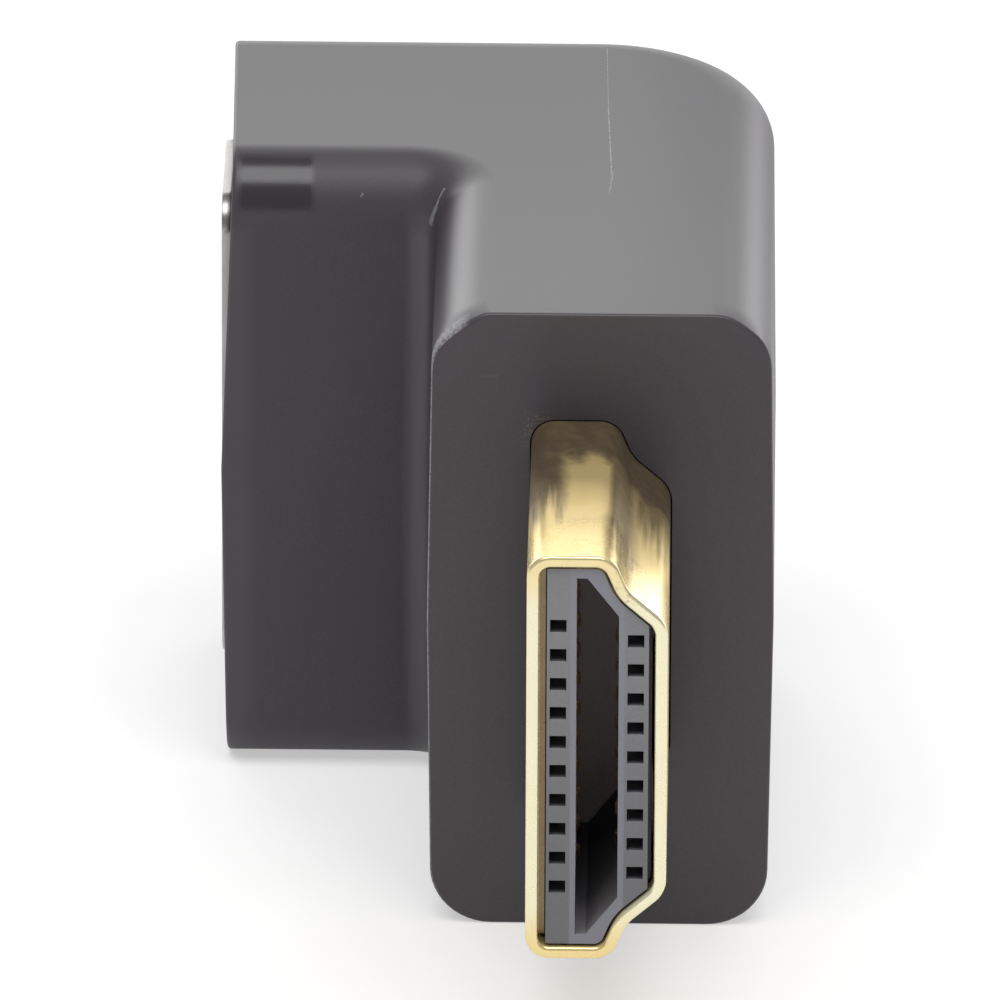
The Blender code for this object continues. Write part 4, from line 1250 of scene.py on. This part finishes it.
def repaint(node_name, material):
    """Give a carried-over node its finish."""
    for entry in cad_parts[node_name].material_slots:
        entry.material = material


def add_camera():
    """The photograph's view: a long lens, a little above the plug."""
    back = Vector((
        math.sin(VIEW_AZIMUTH) * math.cos(VIEW_ELEVATION),
        -math.cos(VIEW_AZIMUTH) * math.cos(VIEW_ELEVATION),
        math.sin(VIEW_ELEVATION),
    ))
    right = Vector((math.cos(VIEW_AZIMUTH), math.sin(VIEW_AZIMUTH), 0))
    up = back.cross(right)
    image_right = right * math.cos(VIEW_ROLL) + up * math.sin(VIEW_ROLL)
    image_up = up * math.cos(VIEW_ROLL) - right * math.sin(VIEW_ROLL)
    target = Vector((PLUG_X, FRONT_Y, MIDDLE_Z))
    eye = target + back * VIEW_DISTANCE
    offset_right = (IMAGE_SIZE / 2 - TARGET_PIXEL[0]) / VIEW_SCALE
    offset_up = (TARGET_PIXEL[1] - IMAGE_SIZE / 2) / VIEW_SCALE
    aim = target + image_right * offset_right + image_up * offset_up
    look = (eye - aim).normalized()
    side = image_up.cross(look).normalized()
    data = bpy.data.cameras.new("camera")
    data.sensor_width = SENSOR_WIDTH
    data.lens = VIEW_SCALE * (eye - aim).length / IMAGE_SIZE * data.sensor_width
    camera = bpy.data.objects.new("camera", data)
    bpy.context.scene.collection.objects.link(camera)
    turn = Matrix((side, look.cross(side), look)).transposed()
    camera.matrix_world = Matrix.Translation(eye) @ turn.to_4x4()
    bpy.context.scene.camera = camera


def add_lamp(name, location, aim, size, radiance):
    """A soft rectangular lamp that faces a point, with its brightness given as radiance."""
    data = bpy.data.lights.new(name, "AREA")
    data.shape = "RECTANGLE"
    data.size = size[0]
    data.size_y = size[1]
    data.energy = radiance * math.pi * size[0] * size[1]
    lamp = bpy.data.objects.new(name, data)
    bpy.context.scene.collection.objects.link(lamp)
    lamp.location = location
    lamp.rotation_euler = (Vector(location) - Vector(aim)).to_track_quat("Z", "Y").to_euler()
    lamp.visible_camera = False


def add_surround():
    """A dim grey surround, so that the lamps draw the shapes."""
    world = bpy.data.worlds.new("surround")
    bpy.context.scene.world = world
    world.use_nodes = True
    background = world.node_tree.nodes["Background"]
    background.inputs["Color"].default_value = WHITE
    background.inputs["Strength"].default_value = SURROUND_STRENGTH


def add_floor():
    """A pale floor that the camera, metal and glass see as white, and that keeps the shadow."""
    bpy.ops.object.select_all(action="DESELECT")
    bpy.ops.mesh.primitive_plane_add(size=FLOOR_SIZE, location=(0, 0, 0))
    floor = bpy.context.active_object
    floor.name = "floor"
    material, tree, shader, spot = start_finish("pale_floor")
    shader.inputs["Specular IOR Level"].default_value = 0.0
    shader.inputs["Emission Color"].default_value = WHITE
    paper = grain(tree, spot, *FLOOR_PAPER)
    colour = blend(tree, paper, *FLOOR_TONES)
    complete(tree, shader, colour, fade(tree, paper, (0.0, 1.0), FLOOR_ROUGHNESS))
    paths = add_node(tree, "LightPath").outputs
    rays = [paths[f"Is {ray} Ray"] for ray in ("Camera", "Glossy", "Transmission")]
    seen = strongest(tree, *rays)
    tree.links.new(product(tree, seen, FLOOR_GLOW), shader.inputs["Emission Strength"])
    floor.data.materials.append(material)


CHARCOAL = charcoal_moulding()
GOLD = gold_plating()
GREY = grey_moulding()
NICKEL = plated_sheet("nickel_plating", NICKEL_TONES, NICKEL_ROUGHNESS)
CONTACT = plated_sheet("contact_plating", CONTACT_TONES, CONTACT_ROUGHNESS)
BOARD = board_lacquer()

dress(model_housing(), CHARCOAL, "housing")
dress(model_plug_shell(), GOLD, "plug_shell")
dress(model_plug_block(), GREY, "plug_insulator")
dress(model_socket_shell(), NICKEL, "socket_shell")
dress(model_socket_block(), GREY, "socket_insulator")
for node_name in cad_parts:
    if "contact" in node_name:
        repaint(node_name, CONTACT)
repaint("circuit_board", BOARD)

add_surround()
add_floor()
for lamp_name, (location, aim, size, radiance) in LAMPS.items():
    add_lamp(lamp_name, location, aim, size, radiance)
add_camera()
bpy.context.scene.view_settings.view_transform = "Standard"
